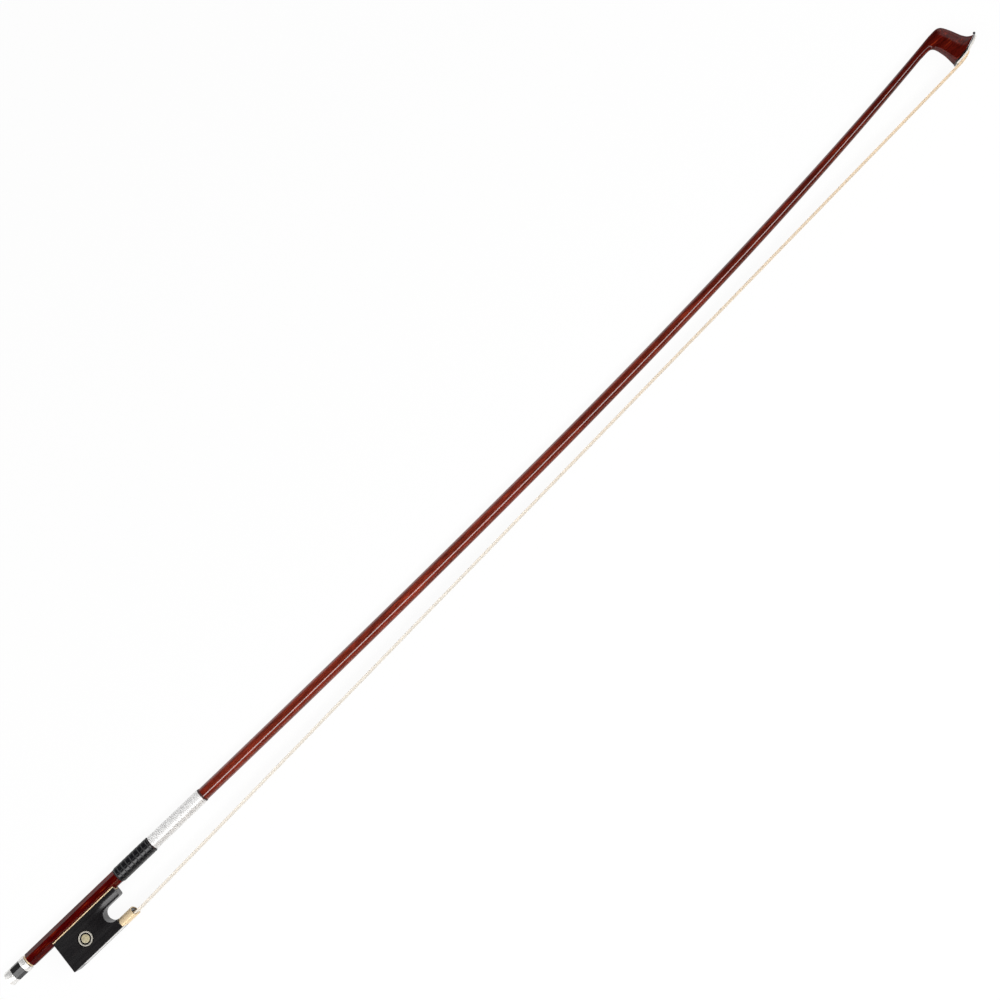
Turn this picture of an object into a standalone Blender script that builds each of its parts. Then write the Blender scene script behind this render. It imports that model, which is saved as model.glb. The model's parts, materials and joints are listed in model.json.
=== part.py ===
"""A violin bow, built as its separate pieces. Metres, +Z up.

The bow lies on its side. +X runs along the handle from the button to the tip, +Y from the hair to
the stick and +Z through the bow's thickness. The origin is under the middle of the whole bow.
Lengths along the bow are stated from the button's end, and heights from the handle's axis.
"""
import math

import bmesh
import bpy
from mathutils import Matrix, Vector

# Clearances
SEAT_GAP = 0.0002
WRAP_GAP = 0.0001
RUN_GAP = 0.0003

# Whole bow
BOW_LENGTH = 0.7450

# Stick
HANDLE_FLATS = 0.0080
SHAFT_BUTT_DIAMETER = 0.00756
SHAFT_TIP_DIAMETER = 0.00468
SHAFT_TAPER_POWER = 2.3
CAMBER_RISE_SQUARE = 0.0129
CAMBER_RISE_FOURTH = 0.0106
CAMBER_START = 0.1545
SHAFT_OVERLAP = 0.0080
SHAFT_STATIONS = 30
SHAFT_END_SHARE = 0.75

# Button and screw
REAR_RING_LENGTH = 0.0048
REAR_RING_FLATS = 0.0081
RING_WALL_END = 0.0010
CORE_LENGTH = 0.0061
CORE_FLATS = 0.0079
FRONT_RING_LENGTH = 0.0036
FRONT_RING_FLATS = 0.0084
SPIGOT_DIAMETER = 0.0056
REAR_SPIGOT_LENGTH = 0.0034
FRONT_SPIGOT_LENGTH = 0.0015
BUTTON_TURN = math.radians(12)
NIPPLE_DIAMETER = 0.0052
NIPPLE_SEAT = 0.0013
COLLAR_SPACE = 0.0013
COLLAR_DIAMETER = 0.0072
COLLAR_LENGTH = 0.0008
SCREW_DIAMETER = 0.0028
SCREW_LENGTH = 0.0690
SCREW_PIN_DIAMETER = 0.0020
SCREW_PIN_LENGTH = 0.0060
SCREW_TIP_ROOM = 0.0020

# Frog
FROG_BACK = 0.0164
FROG_LENGTH = 0.0454
FROG_TOP = 0.0031
FROG_BOTTOM = 0.0227
FROG_TOP_WIDTH = 0.0085
FROG_BOTTOM_WIDTH = 0.0130
FROG_EDGE = 0.00025
HEEL_LEAN = 0.0006
NOSE_DEPTH = 0.0087
NOSE_ROUND = 0.0012
THROAT_RADIUS = 0.0044
TIGHTEN_TRAVEL = 0.0030
SLACKEN_TRAVEL = 0.0040

# Frog fittings
LINER_THICKNESS = 0.00045
LINER_RISE = 0.0006
PIN_DIAMETER = 0.0009
PIN_LENGTH = 0.0030
PIN_INSET = 0.0075
EYELET_PLACE = 0.0205
EYELET_LENGTH = 0.0046
EYELET_DIAMETER = 0.0041
EYELET_FOOT_WIDTH = 0.0030
EYELET_STEM_DIAMETER = 0.0025
EYELET_STEM_LENGTH = 0.0050
MORTISE_MARGIN = 0.0015
EYE_PLACE = 0.0159
EYE_DEPTH = 0.0132
EYE_RING_DIAMETER = 0.0090
EYE_RING_WIDTH = 0.0011
EYE_PEARL_DIAMETER = 0.0052
EYE_THICKNESS = 0.0007
FERRULE_LENGTH = 0.0090
FERRULE_HEIGHT = 0.0052
FERRULE_WALL = 0.0005
FERRULE_SIDE = 0.0018
FERRULE_CORNER = 0.0009
FERRULE_SET_BACK = 0.0006
TONGUE_THICKNESS = 0.0017
SLIDE_HEEL_ROOM = 0.0050
SLIDE_WIDTH = 0.0064
SLIDE_DOVETAIL = 0.0005
PEARL_THICKNESS = 0.0007
BACKING_THICKNESS = 0.0009
FROG_MORTISE_LENGTH = 0.0090
FROG_MORTISE_WIDTH = 0.0080
FROG_MORTISE_DEPTH = 0.0048
FROG_MORTISE_FRONT = 0.0165
WEDGE_LENGTH = 0.0045

# Grip and winding
GRIP_START = 0.0829
GRIP_LENGTH = 0.0259
GRIP_DIAMETER = 0.0097
GRIP_END_DROP = 0.0003
WINDING_LENGTH = 0.0389
WINDING_TURNS = 24
WIRE_WIDTH = 0.0011
WIRE_THICKNESS = 0.0003
WIRE_CROWN = 0.0001
POINTS_PER_TURN = 20
BAND_LENGTH = 0.0007
BAND_THICKNESS = 0.0003

# Head
HEAD_BACK = 0.0203
HEAD_LENGTH = 0.0186
HEAD_FACE_HEIGHT = 0.0052
HEAD_TIP_RISE = 0.0043
HEAD_HALF_WIDTH = 0.0051
HEAD_BACK_SHARE = 0.78
HEAD_BACK_CHAMFER = 0.0012
HEAD_REACH = 0.0080
HEAD_NARROWING = 0.83
HEAD_TOP_RISE = 0.0203
HEAD_CROWN_RISE = 0.02095
LINER_PLATE_THICKNESS = 0.0005
TIP_PLATE_THICKNESS = 0.0008
TIP_OVERHANG = 0.0010
PLATE_OVERHANG = 0.0007
TIP_BEAD_DIAMETER = 0.0015
HEAD_MORTISE_PLACE = 0.0024
HEAD_MORTISE_LENGTH = 0.0080
HEAD_MORTISE_WIDTH = 0.0058
HEAD_MORTISE_DEPTH = 0.0045

# Hair
HAIR_THICKNESS = 0.0009
HAIR_WIDTH_FROG = 0.0102
HAIR_WIDTH_HEAD = 0.0088
HAIR_WIDTH_MORTISE = 0.0054
HAIR_LAYERS = 4
HAIRS_PER_LAYER = 40
HAIR_DIAMETER = 0.00018
HAIR_SLICE_LENGTH = 0.0030
HAIR_TURN_START = 0.0040
KNOT_LENGTH = 0.0020

# Places worked out from the sizes above
BUTTON_END = -BOW_LENGTH / 2
CORE_BACK = BUTTON_END + REAR_RING_LENGTH
CORE_FRONT = CORE_BACK + CORE_LENGTH
RING_FRONT = CORE_FRONT + FRONT_RING_LENGTH
STICK_END = RING_FRONT + COLLAR_SPACE
FROG_HEEL = STICK_END + FROG_BACK
GRIP_BACK = BUTTON_END + GRIP_START
GRIP_FRONT = GRIP_BACK + GRIP_LENGTH
WINDING_FRONT = GRIP_FRONT + WINDING_LENGTH
CAMBER_BACK = BUTTON_END + CAMBER_START
HEAD_X = BOW_LENGTH / 2 - HEAD_BACK
CAMBER_LENGTH = HEAD_X - CAMBER_BACK
AXIS_Y = (FROG_BOTTOM - HEAD_FACE_HEIGHT - HEAD_CROWN_RISE) / 2
AXIS_Z = max(FROG_BOTTOM_WIDTH, 2 * HEAD_HALF_WIDTH) / 2
FLARE = math.atan((FROG_BOTTOM_WIDTH - FROG_TOP_WIDTH) / 2 / (FROG_BOTTOM - FROG_TOP))
FERRULE_BACK = FROG_LENGTH - FERRULE_SET_BACK - FERRULE_LENGTH
FERRULE_FRONT = FROG_LENGTH - FERRULE_SET_BACK
FERRULE_TOP = FROG_BOTTOM - FERRULE_HEIGHT
TONGUE_TOP = FERRULE_TOP + FERRULE_WALL + SEAT_GAP
TONGUE_BOTTOM = TONGUE_TOP + TONGUE_THICKNESS
HAIR_FROG_LOW = FROG_BOTTOM - FERRULE_WALL - SEAT_GAP
HAIR_FROG_MIDDLE = HAIR_FROG_LOW - HAIR_THICKNESS / 2
SLIDE_TOP = FROG_BOTTOM - PEARL_THICKNESS - BACKING_THICKNESS - 2 * SEAT_GAP
MORTISE_BACK = FERRULE_BACK - FROG_MORTISE_FRONT
MORTISE_FRONT = MORTISE_BACK + FROG_MORTISE_LENGTH

# Colours with roughness and metallic values
WOOD = ((0.19, 0.028, 0.014), 0.28, 0.0)
EBONY = ((0.016, 0.014, 0.014), 0.35, 0.0)
BOXWOOD = ((0.42, 0.27, 0.12), 0.6, 0.0)
SILVER = ((0.86, 0.85, 0.82), 0.2, 1.0)
GILT = ((0.85, 0.70, 0.45), 0.3, 1.0)
BRASS = ((0.72, 0.52, 0.22), 0.35, 1.0)
STEEL = ((0.55, 0.56, 0.58), 0.3, 1.0)
LEATHER = ((0.022, 0.021, 0.022), 0.45, 0.0)
PEARL = ((0.80, 0.82, 0.70), 0.2, 0.0)
IVORY_WHITE = ((0.88, 0.85, 0.78), 0.35, 0.0)
HORSEHAIR = ((0.86, 0.77, 0.62), 0.5, 0.0)

BOW = bpy.data.collections.new("violin_bow")
CUTTERS = bpy.data.collections.new("cutters")


# Scene helpers

def clear_scene():
    for obj in list(bpy.data.objects):
        bpy.data.objects.remove(obj, do_unlink=True)
    bpy.context.scene.collection.children.link(BOW)
    bpy.context.scene.collection.children.link(CUTTERS)


def body_frame(name, location):
    empty = bpy.data.objects.new(name, None)
    empty.location = location
    empty.empty_display_size = 0.01
    BOW.objects.link(empty)
    return empty


def finish(name, colour):
    base, roughness, metallic = colour
    made = bpy.data.materials.new(name)
    made.use_nodes = True
    shader = made.node_tree.nodes["Principled BSDF"]
    shader.inputs["Base Color"].default_value = (*base, 1.0)
    shader.inputs["Roughness"].default_value = roughness
    shader.inputs["Metallic"].default_value = metallic
    made.diffuse_color = (*base, 1.0)
    return made


def piece(name, mesh, colour, parent, location=(0, 0, 0), rotation=(0, 0, 0)):
    mesh.materials.clear()
    mesh.materials.append(finish(name, colour))
    obj = bpy.data.objects.new(name, mesh)
    obj.parent = parent
    obj.location = location
    obj.rotation_euler = rotation
    BOW.objects.link(obj)
    return obj


def tool(name, mesh, parent, location=(0, 0, 0), rotation=(0, 0, 0)):
    obj = bpy.data.objects.new(name, mesh)
    obj.parent = parent
    obj.location = location
    obj.rotation_euler = rotation
    obj.hide_render = True
    obj.display_type = "WIRE"
    CUTTERS.objects.link(obj)
    return obj


def boolean(target, other, operation):
    modifier = target.modifiers.new(f"{operation.lower()}_{other.name}", "BOOLEAN")
    modifier.operation = operation
    modifier.solver = "EXACT"
    modifier.object = other


# Mesh makers

def mesh_from(bm, name, smooth=0.0):
    bmesh.ops.recalc_face_normals(bm, faces=bm.faces)
    mesh = bpy.data.meshes.new(name)
    bm.to_mesh(mesh)
    bm.free()
    if smooth:
        mesh.shade_smooth()
        mesh.set_sharp_from_angle(angle=math.radians(smooth))
    return mesh


def box(name, low, high):
    low, high = Vector(low), Vector(high)
    bm = bmesh.new()
    bmesh.ops.create_cube(bm, size=1.0)
    bmesh.ops.scale(bm, vec=high - low, verts=bm.verts)
    bmesh.ops.translate(bm, vec=(low + high) / 2, verts=bm.verts)
    return mesh_from(bm, name)


ALONG = {
    "X": Matrix.Rotation(math.pi / 2, 4, "Y"),
    "Y": Matrix.Rotation(-math.pi / 2, 4, "X"),
    "Z": Matrix.Identity(4),
}


def cylinder(name, radius, start, end, axis="X", segments=24, turn=0.0):
    """A round bar from start to end along an axis, turned about it."""
    bm = bmesh.new()
    middle = Matrix.Translation((0, 0, (start + end) / 2))
    bmesh.ops.create_cone(bm, cap_ends=True, segments=segments, radius1=radius, radius2=radius,
                          depth=end - start, matrix=ALONG[axis] @ Matrix.Rotation(turn, 4, "Z") @ middle)
    return mesh_from(bm, name, 30 if segments > 8 else 0)


def octagon_bar(name, flats, start, end, turn=0.0, edge=0.0):
    """An eight-sided bar along X, with two flats level when turn is 0."""
    corner = flats / 2 / math.cos(math.pi / 8)
    mesh = cylinder(name, corner, start, end, segments=8, turn=math.pi / 8 + turn)
    if edge:
        bm = bmesh.new()
        bm.from_mesh(mesh)
        bmesh.ops.bevel(bm, geom=list(bm.edges), offset=edge, segments=1, affect="EDGES")
        bpy.data.meshes.remove(mesh)
        mesh = mesh_from(bm, name)
    return mesh


LIE = {
    "side": Matrix.Identity(4),
    "front": Matrix(((0, 0, 1, 0), (1, 0, 0, 0), (0, 1, 0, 0), (0, 0, 0, 1))),
    "plan": Matrix(((1, 0, 0, 0), (0, 0, -1, 0), (0, 1, 0, 0), (0, 0, 0, 1))),
}


def prism(name, outlines, start, end, lie="side", smooth=0.0):
    """Flat outlines given a depth. Side outlines are x, y; front ones y, z; plan ones x, z."""
    curve = bpy.data.curves.new(name, "CURVE")
    curve.dimensions = "2D"
    curve.fill_mode = "BOTH"
    curve.extrude = (end - start) / 2
    for outline in outlines:
        spline = curve.splines.new("POLY")
        spline.points.add(len(outline) - 1)
        for point, place in zip(spline.points, outline):
            point.co = (*place, 0.0, 1.0)
        spline.use_cyclic_u = True
        spline.use_smooth = False
    mesh = curve_mesh(curve)
    bm = bmesh.new()
    bm.from_mesh(mesh)
    bpy.data.meshes.remove(mesh)
    middle = (start + end) / 2
    shift = Vector((0, 0, -middle if lie == "plan" else middle))
    bmesh.ops.translate(bm, vec=shift, verts=bm.verts)
    bmesh.ops.transform(bm, matrix=LIE[lie], verts=bm.verts)
    return mesh_from(bm, name, smooth)


def curve_mesh(curve):
    """The curve's own mesh, with its loose caps welded on."""
    obj = bpy.data.objects.new(curve.name, curve)
    bpy.context.scene.collection.objects.link(obj)
    evaluated = obj.evaluated_get(bpy.context.evaluated_depsgraph_get())
    mesh = bpy.data.meshes.new_from_object(evaluated)
    bpy.data.objects.remove(obj, do_unlink=True)
    bm = bmesh.new()
    bm.from_mesh(mesh)
    bmesh.ops.remove_doubles(bm, verts=bm.verts, dist=0.000002)
    bm.to_mesh(mesh)
    bm.free()
    return mesh


def turned(name, profile, colour, parent, location, segments=32):
    """A ring turned about X. The profile is (along, radius), down the outer side and back inside."""
    bm = bmesh.new()
    verts = [bm.verts.new((radius, 0, along)) for along, radius in profile]
    for start, end in zip(verts, verts[1:] + verts[:1]):
        bm.edges.new((start, end))
    mesh = bpy.data.meshes.new(name)
    bm.to_mesh(mesh)
    bm.free()
    if colour is None:
        obj = tool(name, mesh, parent, location)
    else:
        obj = piece(name, mesh, colour, parent, location)
    screw = obj.modifiers.new("turn", "SCREW")
    screw.steps = screw.render_steps = segments
    screw.use_merge_vertices = True
    screw.merge_threshold = 0.00001
    screw.use_smooth_shade = False
    return obj


def ring_profile(back, front, inner, outer):
    return [(front, outer), (back, outer), (back, inner), (front, inner)]


def arc(centre, radius, start, end, count):
    """Points round an arc, with angles in degrees."""
    points = []
    for i in range(count):
        angle = math.radians(start + (end - start) * i / (count - 1))
        points.append((centre[0] + radius * math.cos(angle), centre[1] + radius * math.sin(angle)))
    return points


# Stick

def camber(x):
    """How far the stick's middle has risen above the handle's axis."""
    share = max(0.0, (x - CAMBER_BACK) / CAMBER_LENGTH)
    return CAMBER_RISE_SQUARE * share ** 2 + CAMBER_RISE_FOURTH * share ** 4


def shaft_radius(x):
    share = min(1.0, max(0.0, (x - CAMBER_BACK) / CAMBER_LENGTH))
    loss = (SHAFT_BUTT_DIAMETER - SHAFT_TIP_DIAMETER) * share ** SHAFT_TAPER_POWER
    return (SHAFT_BUTT_DIAMETER - loss) / 2


def octagon_end():
    return GRIP_FRONT - SEAT_GAP * 4


def shaft_mesh():
    """The round, cambered and tapered part, from inside the handle to inside the head.

    Its last station is drawn in, so that it ends under the head's surface.
    """
    start = octagon_end() - SHAFT_OVERLAP
    end = HEAD_X - HEAD_REACH + 0.0005
    tip = HEAD_X - HEAD_BACK_CHAMFER * 1.4
    curve = bpy.data.curves.new("shaft", "CURVE")
    curve.dimensions = "3D"
    curve.bevel_depth = SHAFT_BUTT_DIAMETER / 2
    curve.bevel_resolution = 6
    curve.use_fill_caps = True
    stations = [(start + (end - start) * i / (SHAFT_STATIONS - 1), 1.0) for i in range(SHAFT_STATIONS)]
    stations.append((tip, SHAFT_END_SHARE))
    spline = curve.splines.new("POLY")
    spline.points.add(len(stations) - 1)
    for point, (x, share) in zip(spline.points, stations):
        point.co = (x, camber(x), 0.0, 1.0)
        point.radius = share * shaft_radius(x) / curve.bevel_depth
    return curve_mesh(curve)


def head_sections():
    """Back place and rise, front place and rise, half width, and the back's share of that width.

    The list runs from the face to the crown. The last five sections start inside the round stick
    and grow out of it.
    """
    length, rise, width = HEAD_LENGTH, HEAD_TOP_RISE, HEAD_HALF_WIDTH
    tube = SHAFT_TIP_DIAMETER / 2
    axis = camber(HEAD_X) - HEAD_FACE_HEIGHT
    reach = -HEAD_REACH
    low = camber(HEAD_X + reach) - HEAD_FACE_HEIGHT
    square = HEAD_BACK_SHARE
    return [
        (0.016 * length, 0.0, length, HEAD_TIP_RISE, width, square),
        (0.016 * length, 0.10 * rise, 0.89 * length, 0.255 * rise, 0.90 * width, square),
        (0.011 * length, 0.22 * rise, 0.78 * length, 0.34 * rise, 0.78 * width, square),
        (0.005 * length, 0.34 * rise, 0.72 * length, 0.44 * rise, 0.68 * width, square),
        (-0.011 * length, 0.47 * rise, 0.675 * length, 0.55 * rise, 0.61 * width, square),
        (-0.054 * length, axis - 2.55 * tube, 0.64 * length, 0.65 * rise, 1.22 * tube, square),
        (-0.108 * length, axis - 1.85 * tube, 0.605 * length, 0.73 * rise, 1.16 * tube, 0.74),
        (-0.183 * length, axis - 1.40 * tube, 0.575 * length, 0.80 * rise, 1.12 * tube, 0.70),
        (reach, low - 0.50 * tube, 0.53 * length, 0.87 * rise, 1.08 * tube, 0.75),
        (reach, low + 0.10 * tube, 0.465 * length, 0.945 * rise, 1.04 * tube, 0.75),
        (reach, low + 0.50 * tube, 0.40 * length, 0.99 * rise, 0.96 * tube, 0.75),
        (reach, low + 0.76 * tube, 0.34 * length, 1.015 * rise, 0.72 * tube, 0.75),
        (reach, low + 0.92 * tube, 0.285 * length, HEAD_CROWN_RISE, 0.36 * tube, 0.75),
    ]


def head_width_share(share):
    """The head's and plate's width along their length, as a share of the widest."""
    return 1.0 - HEAD_NARROWING * share ** 3


def head_mesh():
    """The head, lofted up from its curved face to its crown, as an octagonal stack."""
    shares = (0.0, HEAD_BACK_CHAMFER / HEAD_LENGTH, 0.3, 0.52, 0.7, 0.84, 0.94, 1.0)
    bm = bmesh.new()
    rings = []
    sections = head_sections()
    for level, (back, back_rise, front, front_rise, width, back_share) in enumerate(sections):
        bend = 2.0 - 1.4 * level / (len(sections) - 1)
        full = shares[1] if back > -HEAD_REACH else shares[2]
        sides = []
        for side in (1, -1):
            row = []
            for share in shares:
                x = back + (front - back) * share
                y = back_rise + (front_rise - back_rise) * share ** bend
                grown = min(1.0, back_share + (1.0 - back_share) * share / full)
                half = width * head_width_share(share) * grown
                row.append(bm.verts.new((x, y, side * half)))
            sides.append(row)
        rings.append(sides)
    for (near, far), (near_up, far_up) in zip(rings, rings[1:]):
        for i in range(len(shares) - 1):
            bm.faces.new((near[i], near[i + 1], near_up[i + 1], near_up[i]))
            bm.faces.new((far[i], far_up[i], far_up[i + 1], far[i + 1]))
        bm.faces.new((near[0], near_up[0], far_up[0], far[0]))
        bm.faces.new((near[-1], far[-1], far_up[-1], near_up[-1]))
    for near, far in (rings[0], rings[-1]):
        for i in range(len(shares) - 1):
            bm.faces.new((near[i], near[i + 1], far[i + 1], far[i]))
    bmesh.ops.triangulate(bm, faces=bm.faces)
    return mesh_from(bm, "head", 32)


def eyelet_slot():
    """The stick's slot for the eyelet, long enough for the frog's whole travel."""
    middle = FROG_HEEL + EYELET_PLACE
    half_width = EYELET_DIAMETER / 2 + RUN_GAP
    back = middle - EYELET_LENGTH / 2 - TIGHTEN_TRAVEL - MORTISE_MARGIN
    front = middle + EYELET_LENGTH / 2 + SLACKEN_TRAVEL + MORTISE_MARGIN
    return box("eyelet_slot", (back, -HANDLE_FLATS, -half_width), (front, half_width, half_width))


def head_mortise():
    back = HEAD_X + HEAD_MORTISE_PLACE
    front = back + HEAD_MORTISE_LENGTH
    half = HEAD_MORTISE_WIDTH / 2
    low = HEAD_FACE_HEIGHT - 0.004
    return box("head_mortise", (back, low, -half), (front, HEAD_FACE_HEIGHT + HEAD_MORTISE_DEPTH, half))


def make_stick(frame):
    handle = octagon_bar("stick", HANDLE_FLATS, STICK_END, octagon_end())
    stick = piece("stick", handle, WOOD, frame)
    nipple_end = RING_FRONT - NIPPLE_SEAT
    nipple = cylinder("nipple", NIPPLE_DIAMETER / 2, nipple_end, STICK_END + SHAFT_OVERLAP)
    boolean(stick, tool("nipple", nipple, frame), "UNION")
    boolean(stick, tool("shaft", shaft_mesh(), frame), "UNION")
    boolean(stick, tool("head", head_mesh(), frame, (HEAD_X, HEAD_FACE_HEIGHT, 0)), "UNION")
    bore_end = CORE_FRONT + SCREW_LENGTH + SCREW_TIP_ROOM
    bore = cylinder("screw_bore", SCREW_DIAMETER / 2 + RUN_GAP, nipple_end - 0.002, bore_end, segments=16)
    boolean(stick, tool("screw_bore", bore, frame), "DIFFERENCE")
    boolean(stick, tool("eyelet_slot", eyelet_slot(), frame), "DIFFERENCE")
    boolean(stick, tool("head_mortise", head_mortise(), frame), "DIFFERENCE")


def make_collar(frame):
    back = RING_FRONT + (COLLAR_SPACE - COLLAR_LENGTH) / 2
    inner = NIPPLE_DIAMETER / 2 + SEAT_GAP
    profile = ring_profile(back, back + COLLAR_LENGTH, inner, COLLAR_DIAMETER / 2)
    lay_along_x(turned("nipple_collar", profile, GILT, frame, (0, 0, 0), 24))


def lay_along_x(obj):
    obj.rotation_euler = (0, math.pi / 2, 0)


# Grip and winding

def make_grip(frame):
    """Leather round the handle, drawn in at both ends."""
    inner = HANDLE_FLATS / 2 / math.cos(math.pi / 8) + WRAP_GAP
    outer = GRIP_DIAMETER / 2
    back, front = GRIP_BACK, GRIP_FRONT - SEAT_GAP
    profile = [
        (front, outer - GRIP_END_DROP),
        (front - 0.02 * GRIP_LENGTH, outer - 0.1 * GRIP_END_DROP),
        (back + 0.16 * GRIP_LENGTH, outer),
        (back + 0.06 * GRIP_LENGTH, outer - 0.3 * GRIP_END_DROP),
        (back, outer - GRIP_END_DROP),
        (back, inner),
        (front, inner),
    ]
    lay_along_x(turned("leather_grip", profile, LEATHER, frame, (0, 0, 0)))


def winding_radius():
    """The wire's inner radius, so that its flats clear the round stick."""
    return (SHAFT_BUTT_DIAMETER / 2 + WRAP_GAP) / math.cos(math.pi / POINTS_PER_TURN)


def winding_span():
    """The first turn's middle and the pitch, so that the turns fill the winding's length."""
    start = GRIP_FRONT + SEAT_GAP + WIRE_WIDTH / 2
    end = WINDING_FRONT - BAND_LENGTH - SEAT_GAP - WIRE_WIDTH / 2
    return start, (end - start) / WINDING_TURNS


def make_winding(frame):
    """Flat silver wire lapped round the stick, as one unbroken helix."""
    start, pitch = winding_span()
    inner = winding_radius()
    half = WIRE_WIDTH / 2
    shoulder = inner + WIRE_THICKNESS - WIRE_CROWN
    crown = inner + WIRE_THICKNESS
    section = [(-half, inner), (half, inner), (half, shoulder), (0.0, crown), (-half, shoulder)]
    steps = WINDING_TURNS * POINTS_PER_TURN
    bm = bmesh.new()
    rings = []
    for step in range(steps + 1):
        angle = 2 * math.pi * step / POINTS_PER_TURN
        x = start + pitch * step / POINTS_PER_TURN
        ring = [(x + along, radius * math.cos(angle), radius * math.sin(angle)) for along, radius in section]
        rings.append([bm.verts.new(place) for place in ring])
    for ring, following in zip(rings, rings[1:]):
        for i in range(len(section)):
            j = (i + 1) % len(section)
            bm.faces.new((ring[i], ring[j], following[j], following[i]))
    bm.faces.new(rings[0])
    bm.faces.new(list(reversed(rings[-1])))
    piece("winding_wire", mesh_from(bm, "winding_wire", 50), SILVER, frame)
    gap = pitch - WIRE_WIDTH
    print(f"winding: {WINDING_TURNS} turns, least gap to itself {gap * 1000:.3f} mm")


def make_band(frame):
    """The thin band that ends the winding on the tip side."""
    inner = SHAFT_BUTT_DIAMETER / 2 + WRAP_GAP * 1.5
    profile = ring_profile(WINDING_FRONT - BAND_LENGTH, WINDING_FRONT, inner, inner + BAND_THICKNESS)
    lay_along_x(turned("winding_end_band", profile, EBONY, frame, (0, 0, 0), 24))


# Head facings, plug and knot

def face_height(x):
    """The head's curved face, from its back corner to its tip."""
    share = min(1.1, max(0.0, (x - HEAD_X) / HEAD_LENGTH))
    return HEAD_FACE_HEIGHT + HEAD_TIP_RISE * share ** 2


def facing_mesh(name, top, thickness, overhang):
    """A thin plate that follows the head's face, as a loft of straight stations."""
    stations = 12
    length = HEAD_LENGTH + overhang
    bm = bmesh.new()
    rows = []
    for i in range(stations + 1):
        share = i / stations
        x = HEAD_X + length * share
        half = HEAD_HALF_WIDTH * (HEAD_BACK_SHARE if i == 0 else head_width_share(share))
        if i == 1:
            x = HEAD_X + HEAD_BACK_CHAMFER
            half = HEAD_HALF_WIDTH
        upper = face_height(x) - top
        lower = upper - thickness
        corners = ((x, upper, half), (x, lower, half), (x, lower, -half), (x, upper, -half))
        rows.append([bm.verts.new(corner) for corner in corners])
    for row, following in zip(rows, rows[1:]):
        for i in range(4):
            j = (i + 1) % 4
            bm.faces.new((row[i], following[i], following[j], row[j]))
    bm.faces.new(rows[0])
    bm.faces.new(list(reversed(rows[-1])))
    return mesh_from(bm, name)


def make_facings(frame):
    """The dark lining with its tip bead and the white plate under it, cut through for the hair."""
    liner_mesh = facing_mesh("tip_liner", SEAT_GAP, LINER_PLATE_THICKNESS, TIP_OVERHANG)
    liner = piece("tip_liner", liner_mesh, EBONY, frame)
    bead_x = BOW_LENGTH / 2 - TIP_BEAD_DIAMETER / 2
    bead_y = face_height(bead_x) - SEAT_GAP - LINER_PLATE_THICKNESS / 2 + TIP_BEAD_DIAMETER / 4
    bm = bmesh.new()
    bmesh.ops.create_uvsphere(bm, u_segments=12, v_segments=8, radius=TIP_BEAD_DIAMETER / 2)
    bead = tool("tip_bead", mesh_from(bm, "tip_bead", 60), frame, (bead_x, bead_y, 0))
    boolean(liner, bead, "UNION")
    top = 2 * SEAT_GAP + LINER_PLATE_THICKNESS
    plate_mesh = facing_mesh("tip_plate", top, TIP_PLATE_THICKNESS, PLATE_OVERHANG)
    plate = piece("tip_plate", plate_mesh, IVORY_WHITE, frame)
    opening = bpy.data.objects["head_mortise"]
    boolean(liner, opening, "DIFFERENCE")
    boolean(plate, opening, "DIFFERENCE")


def head_mortise_places():
    back = HEAD_X + HEAD_MORTISE_PLACE + SEAT_GAP
    front = HEAD_X + HEAD_MORTISE_PLACE + HEAD_MORTISE_LENGTH - SEAT_GAP
    return back, front, HEAD_FACE_HEIGHT + HEAD_MORTISE_DEPTH - SEAT_GAP


def make_head_plug(frame):
    back, front, top = head_mortise_places()
    half = HEAD_MORTISE_WIDTH / 2 - SEAT_GAP
    end = front - KNOT_LENGTH - SEAT_GAP
    piece("head_plug", box("head_plug", (back, HEAD_FACE_HEIGHT, -half), (end, top, half)), BOXWOOD, frame)


def make_head_knot(frame):
    """The hair's knot at the top of the mortise, and the hair that comes down its front wall."""
    back, front, top = head_mortise_places()
    inner = front - HAIR_THICKNESS
    bottom = hair_exit_height() + SEAT_GAP
    outline = [
        (front - KNOT_LENGTH, top),
        (front - KNOT_LENGTH, top - KNOT_LENGTH),
        (inner, top - KNOT_LENGTH * 1.2),
        (inner, bottom),
        (front, bottom),
        (front, top),
    ]
    half = HAIR_WIDTH_MORTISE / 2
    piece("head_hair_knot", prism("head_hair_knot", [outline], -half, half), HORSEHAIR, frame)


# Hair

def hair_exit_height():
    return HEAD_FACE_HEIGHT - SEAT_GAP


def hair_line():
    """The straight hair's two ends, at the ferrule's mouth and where it meets the head."""
    lowest = face_height(HEAD_X) - 3 * SEAT_GAP - LINER_PLATE_THICKNESS - TIP_PLATE_THICKNESS
    start = (FROG_HEEL + FERRULE_FRONT, -HAIR_FROG_MIDDLE)
    end = (HEAD_X + HEAD_MORTISE_PLACE, lowest - HAIR_THICKNESS / 2)
    return start, end


def hair_height(x):
    (start_x, start_y), (end_x, end_y) = hair_line()
    return start_y + (end_y - start_y) * (x - start_x) / (end_x - start_x)


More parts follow.
